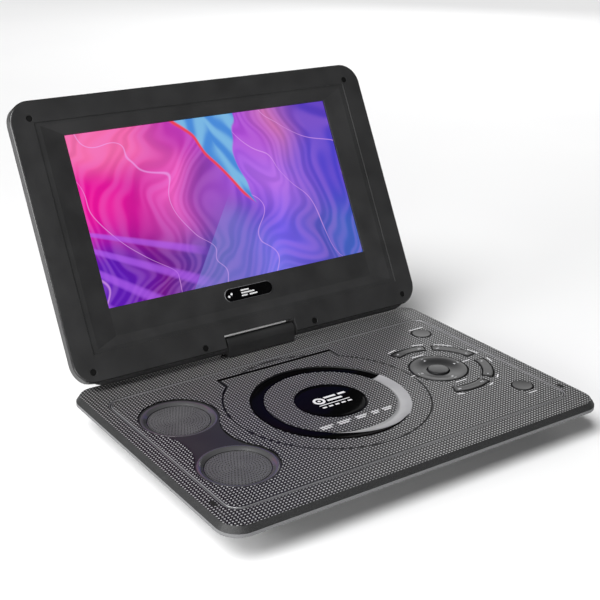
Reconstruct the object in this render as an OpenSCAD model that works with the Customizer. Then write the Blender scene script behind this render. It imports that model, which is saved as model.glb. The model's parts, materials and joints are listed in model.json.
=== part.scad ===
/* Portable disc player: flat base with speakers, keys and a disc bay, and a
   screen lid that tilts and swivels on a block at the middle of the back edge.
   The frame: X to the right, Y to the back, Z up, origin on the table under
   the middle of the base. Millimetres. */

/* [Base] */
// Width of the base
base_w = 300; // [280:1:360]
// Depth of the base
base_d = 212; // [204:1:256]
// Height of the deck above the table
deck_z = 26; // [25:0.5:34]
// Corner radius of the base in plan
base_r = 15; // [10:0.5:22]
// Thickness of the deck plate
deck_t = 2; // [1.6:0.1:2.6]
// Height of the lighter band round the edge
band_h = 2.3; // [1.5:0.1:3]
// Height of the bevel above the band
bevel_h = 3.9; // [2.5:0.1:5]
// Inset of the bevel at the deck
bevel_in = 2.75; // [1.5:0.05:4]
// Thickness of the rim wall
rim_w = 3; // [2:0.1:4]
// Width of the panel inside the deck groove
panel_w = 274.8; // [250:0.2:276]
// Front of the deck groove
panel_front = -88; // [-92:0.5:-80]
// Back of the deck groove
panel_back = 77; // [74:0.5:80]
// Corner radius of the deck groove
panel_r = 11; // [8:0.5:14]
// Width of the deck groove
groove_w = 1.6; // [0.8:0.1:2]
// Depth of the deck groove
groove_h = 0.8; // [0.3:0.1:1]

/* [Bottom case] */
// Wall of the bottom case
case_t = 2; // [1.6:0.1:2.6]
// Inset of the bottom case under the rim, at the front and the sides
case_in = 8; // [6:0.5:14]
// Inset of the flat bottom at the front
bottom_in_front = 40; // [30:1:44]
// Inset of the flat bottom at the sides
bottom_in_side = 28; // [20:1:32]
// Inset of the bottom case under the rim, at the back
case_in_back = 2; // [1:0.5:4]
// Inset of the flat bottom at the back
bottom_in_back = 6; // [4:0.5:10]
// Corner radius of the bottom case
case_r = 20; // [12:1:26]
// Height of the rubber feet
foot_h = 2; // [1:0.1:4]
// Radius of a rubber foot
foot_r = 6; // [4:0.5:8]
// Depth of a foot's seat in the bottom case
foot_seat = 0.8; // [0.4:0.1:1]

/* [Disc door] */
// Middle of the door, across
door_x = -7; // [-12:0.5:0]
// Middle of the round part of the door, front to back
door_y = 0.5; // [-2:0.5:3]
// Radius of the round part of the door
door_r = 71.5; // [69:0.5:73]
// Width of the straight hinge end of the door
tab_w = 97; // [80:1:110]
// Back edge of the door
tab_back = 66; // [64:0.5:70]
// Thickness of the door
door_t = 2.2; // [1.8:0.1:3]
// Gap round the door
door_gap = 0.4; // [0.2:0.05:0.8]
// Radius of the hinge barrel at the back of the door
barrel_r = 3.4; // [3:0.1:3.8]
// Radius of the door's hinge pins
pin_r = 1.2; // [0.8:0.1:1.4]
// Length of a hinge pin past the barrel
pin_l = 4; // [3:0.5:6]
// Outer radius of the gloss ring
ring_ro = 55.3; // [52:0.1:58]
// Inner radius of the gloss ring
ring_ri = 45.4; // [42:0.1:48]
// Depth of the ring's channel
ring_h = 1; // [0.6:0.1:1.2]
// Radius of the hub cap
cap_r = 25.1; // [20:0.1:28]

/* [Disc bay] */
// Middle of the disc, front to back
disc_y = -3.5; // [-5:0.5:0]
// Radius of the disc bay
bay_r = 62; // [61:0.5:62.5]
// Height of the bay floor above the table
bay_z = 18; // [17.5:0.1:18.2]
// Wall of the disc tray
tray_t = 1.6; // [1.2:0.1:2]
// Width of the tray's flange past the door
flange_w = 4; // [3:0.5:5]
// Radius of the hub that centres the disc
hub_r = 7.4; // [7:0.05:7.45]
// Height of the disc above the bay floor
disc_lift = 1.2; // [0.8:0.1:1.6]
// Radius of the turntable
turntable_r = 14.5; // [12:0.5:16]

/* [Drive] */
// Travel of the laser pickup
pickup_travel = 31; // [24:1:31]
// Distance of the lens from the spindle at its inner stop
pickup_start = 24; // [23.5:0.5:25]
// Distance of a guide rod from the spindle line
rod_y = 13; // [12:0.5:14]
// Radius of a guide rod
rod_r = 1; // [0.8:0.1:1.2]
// Distance of the lead screw from the spindle line
screw_y = 19; // [18.5:0.5:20]
// Radius of the lead screw
screw_r = 1.5; // [1.2:0.1:1.6]
// Radius of the spindle motor
motor_r = 11.5; // [10:0.5:11.5]

/* [Speakers] */
// Middle of the speakers, across
speaker_x = -105.4; // [-108:0.2:-102]
// Middle of the rear speaker, front to back
speaker_y_rear = 31.1; // [28:0.1:34]
// Middle of the front speaker, front to back
speaker_y_front = -42.9; // [-46:0.1:-40]
// Radius of a speaker's lobe in the trim
lobe_r = 27; // [26:0.2:29]
// Half width of the trim between its lobes
waist_hw = 15.5; // [12:0.5:18]
// Radius of a perforated grille
grille_r = 21; // [19:0.2:22]
// Depth of the speaker trim below the deck
trim_drop = 0.8; // [0.4:0.1:1]
// Radius of a hole in the grilles
hole_r = 0.7; // [0.5:0.05:0.8]
// Rings of holes round the middle hole
hole_rings = 7; // [4:1:7]

/* [Keys] */
// Middle of the direction pad, across
pad_x = 88.5; // [84:0.5:92]
// Middle of the direction pad, front to back
pad_y = -4.5; // [-8:0.5:0]
// Radius of the direction pad's well
pad_r = 21.6; // [18:0.2:23]
// Radius of the middle button's well
pad_hole_r = 8.3; // [7:0.1:9]
// Inner radius of the curved keys' wells
rocker_ri = 31.5; // [29:0.5:34]
// Outer radius of the curved keys' wells
rocker_ro = 39.7; // [37:0.1:42]
// Middle of the round buttons, across
button_x = 119.2; // [114:0.2:121]
// Middle of the rear round button, front to back
button_y_rear = 51.2; // [46:0.2:54]
// Middle of the front round button, front to back
button_y_front = -58.6; // [-62:0.2:-54]
// Radius of a round button's well
button_r = 7.7; // [6:0.1:9]
// Height of the keys above the deck
key_rise = 0.3; // [0.1:0.1:0.5]
// Gap round every key
key_gap = 0.45; // [0.25:0.05:0.5]

/* [Hinge] */
// Swivel axis, measured in from the back edge of the base
swivel_in = 9.7; // [9:0.1:12]
// Tilt axis, measured back from the swivel axis
tilt_back = 2.2; // [1.5:0.1:3]
// Height of the tilt axis above the deck
axis_h = 8.6; // [8.2:0.1:11]
// Width of the hinge block
block_w = 58; // [44:1:70]
// Radius of the hinge block's round top
block_r = 5.6; // [5.2:0.1:6]
// Gap at each side of the hinge block
block_gap = 2; // [1:0.1:3]
// Gap between the hinge block's round top and the lid
notch_gap = 1.3; // [0.6:0.1:2]
// Radius of the swivel post
post_r = 3; // [2.6:0.1:3.2]
// Radius of the tilt shaft
shaft_r = 1.8; // [1.4:0.05:1.9]

/* [Lid] */
// Opening angle of the lid as drawn
lid_open = 118; // [90:0.1:135]
// Width of the lid
lid_w = 298; // [278:1:358]
// Height of the lid up its face
lid_h = 200.6; // [196:0.2:240]
// Corner radius of the lid
lid_r = 16; // [12:0.5:22]
// Height of the tilt axis above the lid's lower edge
lid_drop = 3.6; // [3.4:0.1:4]
// Face of the lid in front of the tilt axis
lid_front = 6; // [5.6:0.1:6.2]
// Back of the lid behind the tilt axis
lid_back = 7.5; // [7:0.1:7.8]
// Radius of the roll along the lid's lower edge, about the tilt axis
lid_roll = 6.2; // [4:0.1:7.5]
// Wall of the lid
lid_t = 1.6; // [1.2:0.1:2]
// Inset of the back of the lid at its top and sides
lid_back_in = 16; // [8:0.5:24]
// Depth of the screen plate below the lid's face
screen_sink = 2.8; // [2:0.1:3]

/* [Screen] */
// Width of the picture
lcd_w = 222.7; // [200:0.1:240]
// Height of the picture
lcd_h = 125.3; // [110:0.1:140]
// Middle of the picture above the lid's lower edge
lcd_u = 111; // [108:0.5:140]
// Width of the pill-shaped window under the picture
pill_w = 41; // [30:1:60]
// Height of the pill-shaped window
pill_h = 9.5; // [6:0.5:12]
// Middle of the pill-shaped window below the picture
pill_down = 10.4; // [9:0.2:12]

/* [Hidden] */
$fn = 96;

// Colours
deck_col = "#3a3b3d";
shell_col = "#232325";
satin_col = "#48494b";
gloss_col = "#0c0c0d";
rubber_col = "#1a1a1a";
steel_col = "#b9bcc0";
board_col = "#1f5a35";
chip_col = "#151515";
brass_col = "#c8a24a";
screen_col = "#7a3fd0";

// Small distances shared by many pieces
eps = 0.01;
over = 1;
fit_gap = 0.3;
slip_gap = 0.05;

// Levels of the base
deck_under = deck_z - deck_t;
rim_z = deck_z - bevel_h - band_h;
bottom_z = foot_h;
floor_z = bottom_z + case_t;
boss_z = floor_z + 2;
back_y = base_d / 2;
panel_d = panel_back - panel_front;
panel_y = (panel_back + panel_front) / 2;

lip_t = 1.2;

// Disc bay
door_under = deck_z - door_t;
flange_t = 1.5;
flange_z = door_under - 0.1;
tray_under = bay_z - tray_t;
well_hole_r = 17;
slot_hw = 10.5;
lug_l = 3;
axis_y = tab_back - barrel_r;
axis_z = deck_z - barrel_r;
hook_y = door_y - door_r + 4;
hook_w = 6;
hook_t = 2;
hook_h = 4.2;
ring_from = 15;
ring_to = 285;

// Drive
disc_z = bay_z + disc_lift;
chassis_z = 12;
chassis_t = 1.2;
rod_z = 14.8;
screw_z = 11;
sled_l = 20;
sled_hw = 15.5;
sled_top = tray_under - 0.4;
sled_z = chassis_z + chassis_t + 0.3;
lens_x = door_x + pickup_start;
rod_x0 = door_x + 8;
rod_x1 = lens_x + pickup_travel + sled_l / 2 + 1;
stand_t = 2.4;
chassis_x0 = door_x - 19;
chassis_x1 = rod_x1 + stand_t;
chassis_hd = 32;
damper_r = 4;
damper_h = 4;
damper_in = 6;

// Speakers
speaker_ys = [speaker_y_rear, speaker_y_front];
lobe_half = (speaker_y_rear - speaker_y_front) / 2;
lobe_mid = (speaker_y_rear + speaker_y_front) / 2;
waist_r = (pow(lobe_half, 2) + pow(waist_hw, 2) - pow(lobe_r, 2)) / (2 * (lobe_r - waist_hw));
waist_x = waist_r + waist_hw;
lobe_share = lobe_r / (lobe_r + waist_r);
trim_t = 1.4;
trim_lip = 1.6;
grille_t = 1;
grille_z = deck_under - trim_t;
dish_w = 3.4;
driver_z = grille_z - 0.4;
driver_h = 8.4;

// Keys
board_t = 1.6;
key_board_z = deck_under - 5.4;
switch_h = 1;
switch_z = key_board_z + board_t;
pivot_z = deck_z - 4;
key_under = pivot_z - 0.1;
key_lip = 0.9;
rocker_a = [[66, 113], [7, 57], [-55, -6], [-113, -65]];
switch_s = 5;
pad_switch_r = 15;
key_board_x0 = 64;
key_board_x1 = 132;
key_board_y0 = -68;
key_board_y1 = 61;

// Electronics
main_z = 11;
main_top = main_z + board_t;
main_x0 = 66;
main_x1 = 124;
main_y0 = -46;
port_board_x0 = 34;
port_board_d = 20;
wall_slope = (bottom_in_back - case_in_back) / (rim_z - bottom_z);
port_y = back_y - case_in_back - wall_slope * (rim_z - main_z) - case_t - fit_gap;
port_face = back_y - case_in_back - 0.9;
dc_x = 72;
switch_x = 84;
phones_x = 95.5;
av_x = 105.5;
usb_x = 117;
card_x = 50;
jack_r = 1.8;
jack_z = main_top + 3;
usb_w = 14;
usb_h = 6.4;
card_w = 26;
card_h = 3.2;
battery_x = 90;
battery_y = 7;
battery_w = 48;
battery_d = 106;
battery_h = 6;
cover_t = 1.4;
screw_at = [[-92, 88], [-72, -61], [57, -62], [100, 70], [-32, 84]];
screw_head_r = 2.9;
screw_shank_r = 1.3;
head_h = 1.6;
boss_r = 3.4;
foot_x = 110;
foot_front = -base_d / 2 + bottom_in_front + foot_r + 4;
foot_back = back_y - bottom_in_back - foot_r - 4;
rim_plug_x = base_w / 2 - 9;
rim_plug_y = panel_front + 14.5;

// Hinge
swivel_y = back_y - swivel_in;
tilt_y = swivel_y + tilt_back;
tilt_z = deck_z + axis_h;
block_z = deck_z + 0.4;
block_t = 1.6;
floor_t = 1.6;
block_in_r = block_r - block_t;
cavity_hw = block_w / 2 - block_t - 0.2;
washer_r = 5.2;
washer_t = 1.4;
boss_h = 3;
post_hole_r = 1.7;
flange_top = block_z + floor_t;
plate_t = 1.2;
clip_x = 15;
clip_w = 8;
clip_r = 3.6;

// Lid, in its own axes: x across, y up the face from the tilt axis, z out of the face
lid_low = -lid_drop;
lid_mid = lid_low + lid_h / 2;
lid_wall = 2.4;
lid_rim = 1;
roll_in = 9;
plate_z = lid_front - screen_sink;
pan_t = 1.2;
recess_x = 132;
recess_low = 19.3;
recess_high = 16.1;
recess_step = 0.5;
slope_x = 128;
slope_low = 22;
slope_high = 18.6;
window_gap = 0.2;
plate_low = 28.5;
notch_hw = block_w / 2 + block_gap;
notch_v = block_r + notch_gap;
lcd_v = lid_low + lcd_u;
lcd_border = 4;
glass_z = plate_z - pan_t - 0.1;
glass_t = 2.5;
frame_t = 2.4;
plug_r = 2.4;
plug_at = [[-lid_w / 2 + 13.5, 7.8], [lid_w / 2 - 13.5, 7.8], [-48, 4.6], [48, 4.6],
  [-lid_w / 2 + 14.5, lid_h - 12.9], [lid_w / 2 - 14.5, lid_h - 12.9]];
plug_h = 1.1;
knuckle_r = 2.9;
knuckle_l = 11;
shaft_hw = notch_hw + lid_wall + knuckle_l;
bracket_t = 1.2;
bracket_h = 20;

// Rectangle with round corners, centred
module round_rect(w, d, r) {
  square([w - 2 * r, d], center = true);
  square([w, d - 2 * r], center = true);
  for (sx = [-1, 1], sy = [-1, 1])
    translate([sx * (w / 2 - r), sy * (d / 2 - r)]) circle(r);
}

// Slab with round corners whose top is narrower all round by c
module bevel_slab(w, d, r, h, c) {
  rotate([90, 0, 0])
    translate([0, 0, r - d / 2])
      linear_extrude(d - 2 * r)
        polygon([[-w / 2, 0], [w / 2, 0], [w / 2 - c, h], [c - w / 2, h]]);
  rotate([90, 0, 90])
    translate([0, 0, r - w / 2])
      linear_extrude(w - 2 * r)
        polygon([[-d / 2, 0], [d / 2, 0], [d / 2 - c, h], [c - d / 2, h]]);
  for (sx = [-1, 1], sy = [-1, 1])
    translate([sx * (w / 2 - r), sy * (d / 2 - r), 0]) cylinder(h = h, r1 = r, r2 = r - c);
}

// Box from level z0 to z1 whose four sides slope: a and b are [x0, x1, y0, y1]
// at the lower and the upper level
module taper_box(a, b, z0, z1) {
  reach_y = max(abs(a[2]), abs(a[3]), abs(b[2]), abs(b[3])) + over;
  reach_x = max(abs(a[0]), abs(a[1]), abs(b[0]), abs(b[1])) + over;
  intersection() {
    rotate([90, 0, 0])
      linear_extrude(2 * reach_y, center = true)
        polygon([[a[0], z0], [a[1], z0], [b[1], z1], [b[0], z1]]);
    rotate([90, 0, 90])
      linear_extrude(2 * reach_x, center = true)
        polygon([[a[2], z0], [a[3], z0], [b[3], z1], [b[2], z1]]);
  }
}

// Pie slice from angle a0 to a1 and out to radius r
module slice(r, a0, a1) {
  step = (a1 - a0) / 4;
  far = r / cos(step / 2) + over;
  polygon(concat([[0, 0]], [for (i = [0:4]) far * [cos(a0 + i * step), sin(a0 + i * step)]]));
}

// Cylinder along X
module rod_x(r, x0, x1) {
  translate([x0, 0, 0]) rotate([0, 90, 0]) cylinder(h = x1 - x0, r = r);
}

// Box given by its lower and upper corners
module span_box(lo, hi) {
  translate(lo) cube(hi - lo);
}

// Outline of the disc door, grown by g
module door_shape(g) {
  intersection() {
    translate([door_x, door_y]) circle(door_r + g);
    translate([door_x - door_r - over, door_y - door_r - over])
      square([2 * (door_r + over), tab_back + g - door_y + door_r + over]);
  }
  translate([door_x - tab_w / 2 - g, door_y]) square([tab_w + 2 * g, tab_back + g - door_y]);
}

// Outline of the speaker trim, grown by g
module trim_shape(g) {
  for (y = speaker_ys) translate([speaker_x, y]) circle(lobe_r + g);
  translate([speaker_x, lobe_mid]) difference() {
    square([2 * waist_x * lobe_share - 0.2, 2 * lobe_half], center = true);
    for (s = [-1, 1]) translate([s * waist_x, 0]) circle(waist_r + 0.05 - g);
  }
}

// Outline of curved key number i, shrunk by g
module rocker_shape(i, g) {
  turn = g / rocker_ri * 180 / PI;
  translate([pad_x, pad_y]) intersection() {
    difference() {
      circle(rocker_ro - g);
      circle(rocker_ri + g);
    }
    slice(rocker_ro, rocker_a[i][0] + turn, rocker_a[i][1] - turn);
  }
}

// Screw posts that hang from the deck
module deck_bosses() {
  for (p = screw_at)
    translate([p[0], p[1], boss_z]) cylinder(h = deck_under - boss_z + eps, r = boss_r);
}

module base_top_case() {
  color(deck_col) difference() {
    union() {
      difference() {
        union() {
          translate([0, 0, rim_z]) linear_extrude(band_h) round_rect(base_w, base_d, base_r);
          translate([0, 0, rim_z + band_h])
            bevel_slab(base_w, base_d, base_r, bevel_h, bevel_in);
        }
        translate([0, 0, rim_z - over]) linear_extrude(deck_under - rim_z + over)
          round_rect(base_w - 2 * rim_w, base_d - 2 * rim_w, base_r - rim_w);
      }
      deck_bosses();
      translate([0, swivel_y, deck_under - boss_h])
        cylinder(h = boss_h + eps, r = washer_r + 0.2);
    }
    translate([0, 0, deck_under - over]) linear_extrude(deck_t + 2 * over) door_shape(0);
    translate([0, 0, deck_under - over]) linear_extrude(deck_t + 2 * over) trim_shape(0);
    translate([0, 0, deck_under - over]) linear_extrude(deck_t + 2 * over)
      for (i = [0:3]) rocker_shape(i, 0);
    translate([pad_x, pad_y, deck_under - over]) cylinder(h = deck_t + 2 * over, r = pad_r);
    for (y = [button_y_rear, button_y_front])
      translate([button_x, y, deck_under - over]) cylinder(h = deck_t + 2 * over, r = button_r);
    translate([0, swivel_y, deck_under - boss_h - over])
      cylinder(h = boss_h + deck_t + 2 * over, r = post_r + slip_gap);
    translate([0, panel_y, deck_z - groove_h]) linear_extrude(groove_h + over) difference() {
      round_rect(panel_w, panel_d, panel_r);
      round_rect(panel_w - 2 * groove_w, panel_d - 2 * groove_w, panel_r - groove_w);
    }
    for (s = [-1, 1])
      translate([s * rim_plug_x, rim_plug_y, deck_z - groove_h])
        linear_extrude(groove_h + over) rim_plug_shape(0);
    for (p = screw_at)
      translate([p[0], p[1], boss_z - over]) cylinder(h = 11 + over, r = screw_shank_r);
  }
}

// Outline of a rim plug, shrunk by g
module rim_plug_shape(g) {
  round_rect(3.2 - 2 * g, 6.4 - 2 * g, 1.5 - g);
}

module rim_plugs() {
  color(rubber_col)
    for (s = [-1, 1])
      translate([s * rim_plug_x, rim_plug_y, deck_z - groove_h])
        linear_extrude(groove_h + 0.2) rim_plug_shape(0.1);
}

// Corners of the bottom case at the flat bottom and under the rim, inset by g
function case_low(g) = [-base_w / 2 + bottom_in_side + g, base_w / 2 - bottom_in_side - g,
  -base_d / 2 + bottom_in_front + g, back_y - bottom_in_back - g];
function case_high(g) = [-base_w / 2 + case_in + g, base_w / 2 - case_in - g,
  -base_d / 2 + case_in + g, back_y - case_in_back - g];

module base_bottom_case() {
  inner_w = base_w - 2 * case_in;
  inner_d = base_d - case_in - case_in_back;
  mid_y = (case_in - case_in_back) / 2;
  color(shell_col) difference() {
    union() {
      difference() {
        intersection() {
          taper_box(case_low(0), case_high(0), bottom_z, rim_z);
          translate([0, mid_y, bottom_z - over])
            linear_extrude(rim_z) round_rect(inner_w, inner_d, case_r);
        }
        intersection() {
          taper_box(case_low(case_t), case_high(case_t), floor_z, rim_z + eps);
          translate([0, mid_y, floor_z - over]) linear_extrude(rim_z)
            round_rect(inner_w - 2 * case_t, inner_d - 2 * case_t, case_r - case_t);
        }
      }
      translate([0, 0, rim_z - eps]) linear_extrude(lip_t) difference() {
        round_rect(base_w - 2 * rim_w - 2 * fit_gap, base_d - 2 * rim_w - 2 * fit_gap, base_r - rim_w);
        translate([0, mid_y]) round_rect(inner_w - 2 * case_t, inner_d - 2 * case_t, case_r - case_t);
      }
      for (p = screw_at) translate([p[0], p[1], bottom_z]) cylinder(h = case_t + 2, r = boss_r + 1);
      for (p = damper_at())
        translate([p[0], p[1], floor_z - eps])
          cylinder(h = chassis_z - damper_h - floor_z + eps, r = damper_r - 1);
    }
    for (p = screw_at) {
      translate([p[0], p[1], bottom_z - over]) cylinder(h = case_t + 6, r = screw_shank_r + 0.3);
      translate([p[0], p[1], bottom_z - over]) cylinder(h = over + 2.4, r = screw_head_r + 0.3);
    }
    for (p = foot_at())
      translate([p[0], p[1], bottom_z - over]) cylinder(h = over + foot_seat, r = foot_r + 0.1);
    span_box([battery_x - battery_w / 2 - 2, battery_y - battery_d / 2 - 2, bottom_z - over],
      [battery_x + battery_w / 2 + 2, battery_y + battery_d / 2 + 2, floor_z + over]);
    port_cuts();
    for (i = [-3:3])
      span_box([speaker_x - 14, lobe_mid + i * 5 - 1, bottom_z - over],
        [speaker_x + 14, lobe_mid + i * 5 + 1, floor_z + over]);
  }
}

function foot_at() = [for (sx = [-1, 1], y = [foot_front, foot_back]) [sx * foot_x, y]];
function damper_at() = [for (x = [chassis_x0 + damper_in, chassis_x1 - damper_in], s = [-1, 1])
  [x, disc_y + s * (chassis_hd - damper_in)]];

// Holes in the back wall for the sockets and the switch
module port_cuts() {
  y0 = back_y - bottom_in_back - case_t - 2;
  y1 = back_y + over;
  for (x = [phones_x, av_x]) translate([x, y0, jack_z]) rotate([-90, 0, 0]) cylinder(h = y1 - y0, r = 3.3);
  translate([dc_x, y0, jack_z]) rotate([-90, 0, 0]) cylinder(h = y1 - y0, r = 3.3);
  span_box([usb_x - usb_w / 2 - 0.3, y0, main_top - 0.1], [usb_x + usb_w / 2 + 0.3, y1, main_top + usb_h + 0.1]);
  span_box([card_x - card_w / 2 - 0.3, y0, main_top - 0.1], [card_x + card_w / 2 + 0.3, y1, main_top + card_h + 0.3]);
  span_box([switch_x - 5, y0, jack_z - 1.8], [switch_x + 5, y1, jack_z + 1.8]);
}

module rubber_feet() {
  color(rubber_col)
    for (p = foot_at())
      translate([p[0], p[1], 0]) {
        cylinder(h = 0.5, r1 = foot_r - 0.5, r2 = foot_r);
        translate([0, 0, 0.5]) cylinder(h = foot_h + foot_seat - 0.5, r = foot_r);
      }
}

module case_screws() {
  color(steel_col)
    for (p = screw_at)
      translate([p[0], p[1], bottom_z + 0.8]) difference() {
        union() {
          cylinder(h = head_h, r = screw_head_r);
          cylinder(h = 14, r = screw_shank_r - 0.02);
        }
        for (a = [0, 90]) rotate([0, 0, a])
          translate([-1.8, -0.35, -over]) cube([3.6, 0.7, over + 0.8]);
      }
}

module battery_pack() {
  z0 = bottom_z + cover_t + 0.3;
  color("#2b4f8c")
    for (s = [-1, 1])
      translate([battery_x + s * battery_w / 4, battery_y, z0 + battery_h / 2])
        rotate([90, 0, 0]) linear_extrude(battery_d, center = true)
          round_rect(battery_w / 2, battery_h, 2);
  color("#2b4f8c")
    span_box([battery_x - 8, battery_y - battery_d / 2, z0 + 0.5],
      [battery_x + 8, battery_y + battery_d / 2, z0 + battery_h - 0.5]);
}

module battery_cover() {
  w = battery_w + 4 - 2 * fit_gap;
  d = battery_d + 4 - 2 * fit_gap;
  color(shell_col) difference() {
    translate([battery_x, battery_y, bottom_z + cover_t / 2]) cube([w, d, cover_t], center = true);
    for (i = [-2:2])
      translate([battery_x, battery_y - battery_d / 2 + 10 + i * 2.4, bottom_z])
        cube([18, 1, 0.8], center = true);
  }
}

module speaker_trim() {
  top = deck_z - trim_drop;
  color(satin_col) difference() {
    union() {
      translate([0, 0, grille_z]) linear_extrude(top - grille_z) trim_shape(-0.2);
      translate([0, 0, grille_z]) linear_extrude(trim_t - 0.1) trim_shape(trim_lip);
    }
    for (y = speaker_ys) translate([speaker_x, y, 0]) {
      translate([0, 0, grille_z - over]) cylinder(h = trim_t + trim_drop + 4, r = grille_r);
      translate([0, 0, grille_z + grille_t])
        cylinder(h = top - grille_z - grille_t + eps, r1 = grille_r, r2 = grille_r + dish_w);
    }
  }
}

// Perforated disc, its holes on rings six more each time
module grille(y) {
  pitch = (grille_r - 1.6) / hole_rings;
  color(chip_col) translate([speaker_x, y, grille_z]) linear_extrude(grille_t) difference() {
    circle(grille_r - 0.1);
    circle(hole_r, $fn = 16);
    for (k = [1:hole_rings], j = [0:6 * k - 1])
      rotate(j * 60 / k) translate([k * pitch, 0]) circle(hole_r, $fn = 16);
  }
}

module speaker_grille_rear() { grille(speaker_y_rear); }
module speaker_grille_front() { grille(speaker_y_front); }

// Basket and magnet of a loudspeaker under its grille
module driver(y) {
  r = grille_r;
  color(steel_col) translate([speaker_x, y, driver_z - driver_h]) {
    rotate_extrude() polygon([[6, 3.4], [r - 8, 3.4], [r - 1, driver_h - 1.2], [r + 1, driver_h - 1.2],
      [r + 1, driver_h], [r - 2.4, driver_h], [r - 9, 4.4], [6, 4.4]]);
    cylinder(h = 3.4, r = 11);
  }
}

module speaker_driver_rear() { driver(speaker_y_rear); }
module speaker_driver_front() { driver(speaker_y_front); }

module speaker_cones() {
  r = grille_r;
  color(rubber_col)
    for (y = speaker_ys) translate([speaker_x, y, driver_z - driver_h])
      rotate_extrude() polygon([[0, 4.5], [5, 4.5], [r - 8.6, 5.2], [r - 3, driver_h], [r - 4.2, driver_h],
        [r - 9.2, 5.9], [5.4, 5.9], [3, 7], [0, 7.4]]);
}

module disc_tray() {
  pin_x = tab_w / 2 + door_gap;
  color(shell_col) difference() {
    union() {
      translate([0, 0, flange_z - flange_t]) linear_extrude(flange_t) difference() {
        door_shape(flange_w);
        trim_shape(trim_lip + fit_gap);
      }
      translate([0, 0, flange_z - eps]) linear_extrude(deck_under - flange_z + eps) difference() {
        door_shape(flange_w);
        door_shape(0.6);
        trim_shape(trim_lip + fit_gap);
      }
      translate([door_x, disc_y, tray_under]) cylinder(h = flange_z - tray_under - eps, r = bay_r + tray_t);
      for (s = [-1, 1])
        translate([door_x + s * (pin_x + pin_l / 2), axis_y, axis_z - 1.5])
          cube([lug_l, 5, 5.4], center = true);
    }
    translate([door_x, disc_y, bay_z]) cylinder(h = deck_z, r = bay_r);
    translate([door_x, disc_y, tray_under - over]) cylinder(h = deck_z, r = well_hole_r);
    span_box([door_x, disc_y - slot_hw, tray_under - over],
      [lens_x + pickup_travel + 5.8, disc_y + slot_hw, bay_z + over]);
    span_box([door_x - hook_w / 2 - 1.5, hook_y - 2.5, tray_under - over],
      [door_x + hook_w / 2 + 1.5, hook_y + 2.5, deck_z]);
    difference() {
      span_box([door_x - tab_w / 2 - door_gap, axis_y - barrel_r - 0.6, bay_z - 2],
        [door_x + tab_w / 2 + door_gap, tab_back + flange_w + over, deck_z]);
      span_box([door_x - tab_w / 2 - over, tab_back + door_gap + 1.2, bay_z - 3],
        [door_x + tab_w / 2 + over, tab_back + flange_w + 2 * over, deck_z]);
    }
    for (s = [-1, 1])
      translate([door_x + s * (pin_x + pin_l / 2), axis_y, axis_z])
        rotate([0, 90, 0]) cylinder(h = pin_l + 2, r = pin_r + slip_gap, center = true);
  }
}

module disc_door() {
  g = -door_gap;
  color(deck_col) difference() {
    union() {
      difference() {
        translate([0, 0, door_under]) linear_extrude(door_t) door_shape(g);
        span_box([door_x - tab_w, axis_y, door_under - over], [door_x + tab_w, tab_back + over, deck_z + over]);
      }
      translate([0, axis_y, axis_z])
        rod_x(barrel_r, door_x - tab_w / 2 - g, door_x + tab_w / 2 + g);
      translate([0, axis_y, axis_z])
        rod_x(pin_r, door_x - tab_w / 2 - pin_l, door_x + tab_w / 2 + pin_l);
      translate([door_x, disc_y, door_under - 1.2]) difference() {
        cylinder(h = 1.2 + eps, r = 12);
        translate([0, 0, -over]) cylinder(h = 3, r = 9);
      }
      span_box([door_x - hook_w / 2, hook_y - hook_t / 2, door_under - hook_h],
        [door_x + hook_w / 2, hook_y + hook_t / 2, door_under + eps]);
      span_box([door_x - hook_w / 2, hook_y - hook_t / 2 - 0.8, door_under - hook_h],
        [door_x + hook_w / 2, hook_y, door_under - hook_h + 1]);
    }
    translate([door_x, disc_y, deck_z - ring_h]) rotate_extrude()
      polygon([[ring_ri, 0], [ring_ro - 1.2, 0], [ring_ro, ring_h], [ring_ro, ring_h + over],
        [ring_ri, ring_h + over]]);
    translate([door_x, disc_y, deck_z - ring_h]) cylinder(h = ring_h + over, r = cap_r + 0.15);
  }
}

module door_ring() {
  color(gloss_col) translate([door_x, disc_y, deck_z - ring_h]) linear_extrude(ring_h - 0.4)
    intersection() {
      difference() {
        circle(ring_ro - 1.3);
        circle(ring_ri + 0.1);
      }
      union() {
        slice(ring_ro, ring_from, (ring_from + ring_to) / 2);
        slice(ring_ro, (ring_from + ring_to) / 2 - 1, ring_to);
      }
    }
}

module door_hub_cap() {
  edge = 0.7;
  rise = 0.6;
  steps = 8;
  color(gloss_col) translate([door_x, disc_y, deck_z - ring_h]) rotate_extrude()
    polygon(concat([[0, 0], [cap_r, 0]],
      [for (i = [steps:-1:0]) [cap_r * i / steps, edge + rise * (1 - pow(i / steps, 2))]]));
}

module turntable() {
  color(shell_col) translate([door_x, disc_y, 0]) difference() {
    union() {
      translate([0, 0, disc_z - 1.6]) cylinder(h = 1.6, r = turntable_r);
      translate([0, 0, disc_z - eps]) cylinder(h = 1.6 + eps, r = hub_r);
      translate([0, 0, disc_z + 1.6]) cylinder(h = 0.8, r1 = hub_r, r2 = hub_r - 2);
      translate([0, 0, chassis_z + chassis_t + 1.1]) cylinder(h = 4, r = 5);
      translate([0, 0, floor_z + 2.6]) cylinder(h = 12, r = 1);
    }
    for (a = [0, 120, 240]) rotate([0, 0, a])
      translate([hub_r - 0.8, 0, disc_z + 1]) sphere(0.95, $fn = 32);
  }
}

module hub_balls() {
  color(steel_col)
    for (a = [0, 120, 240]) translate([door_x, disc_y, 0]) rotate([0, 0, a])
      translate([hub_r - 0.8, 0, disc_z + 1]) sphere(0.9, $fn = 32);
}

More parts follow.
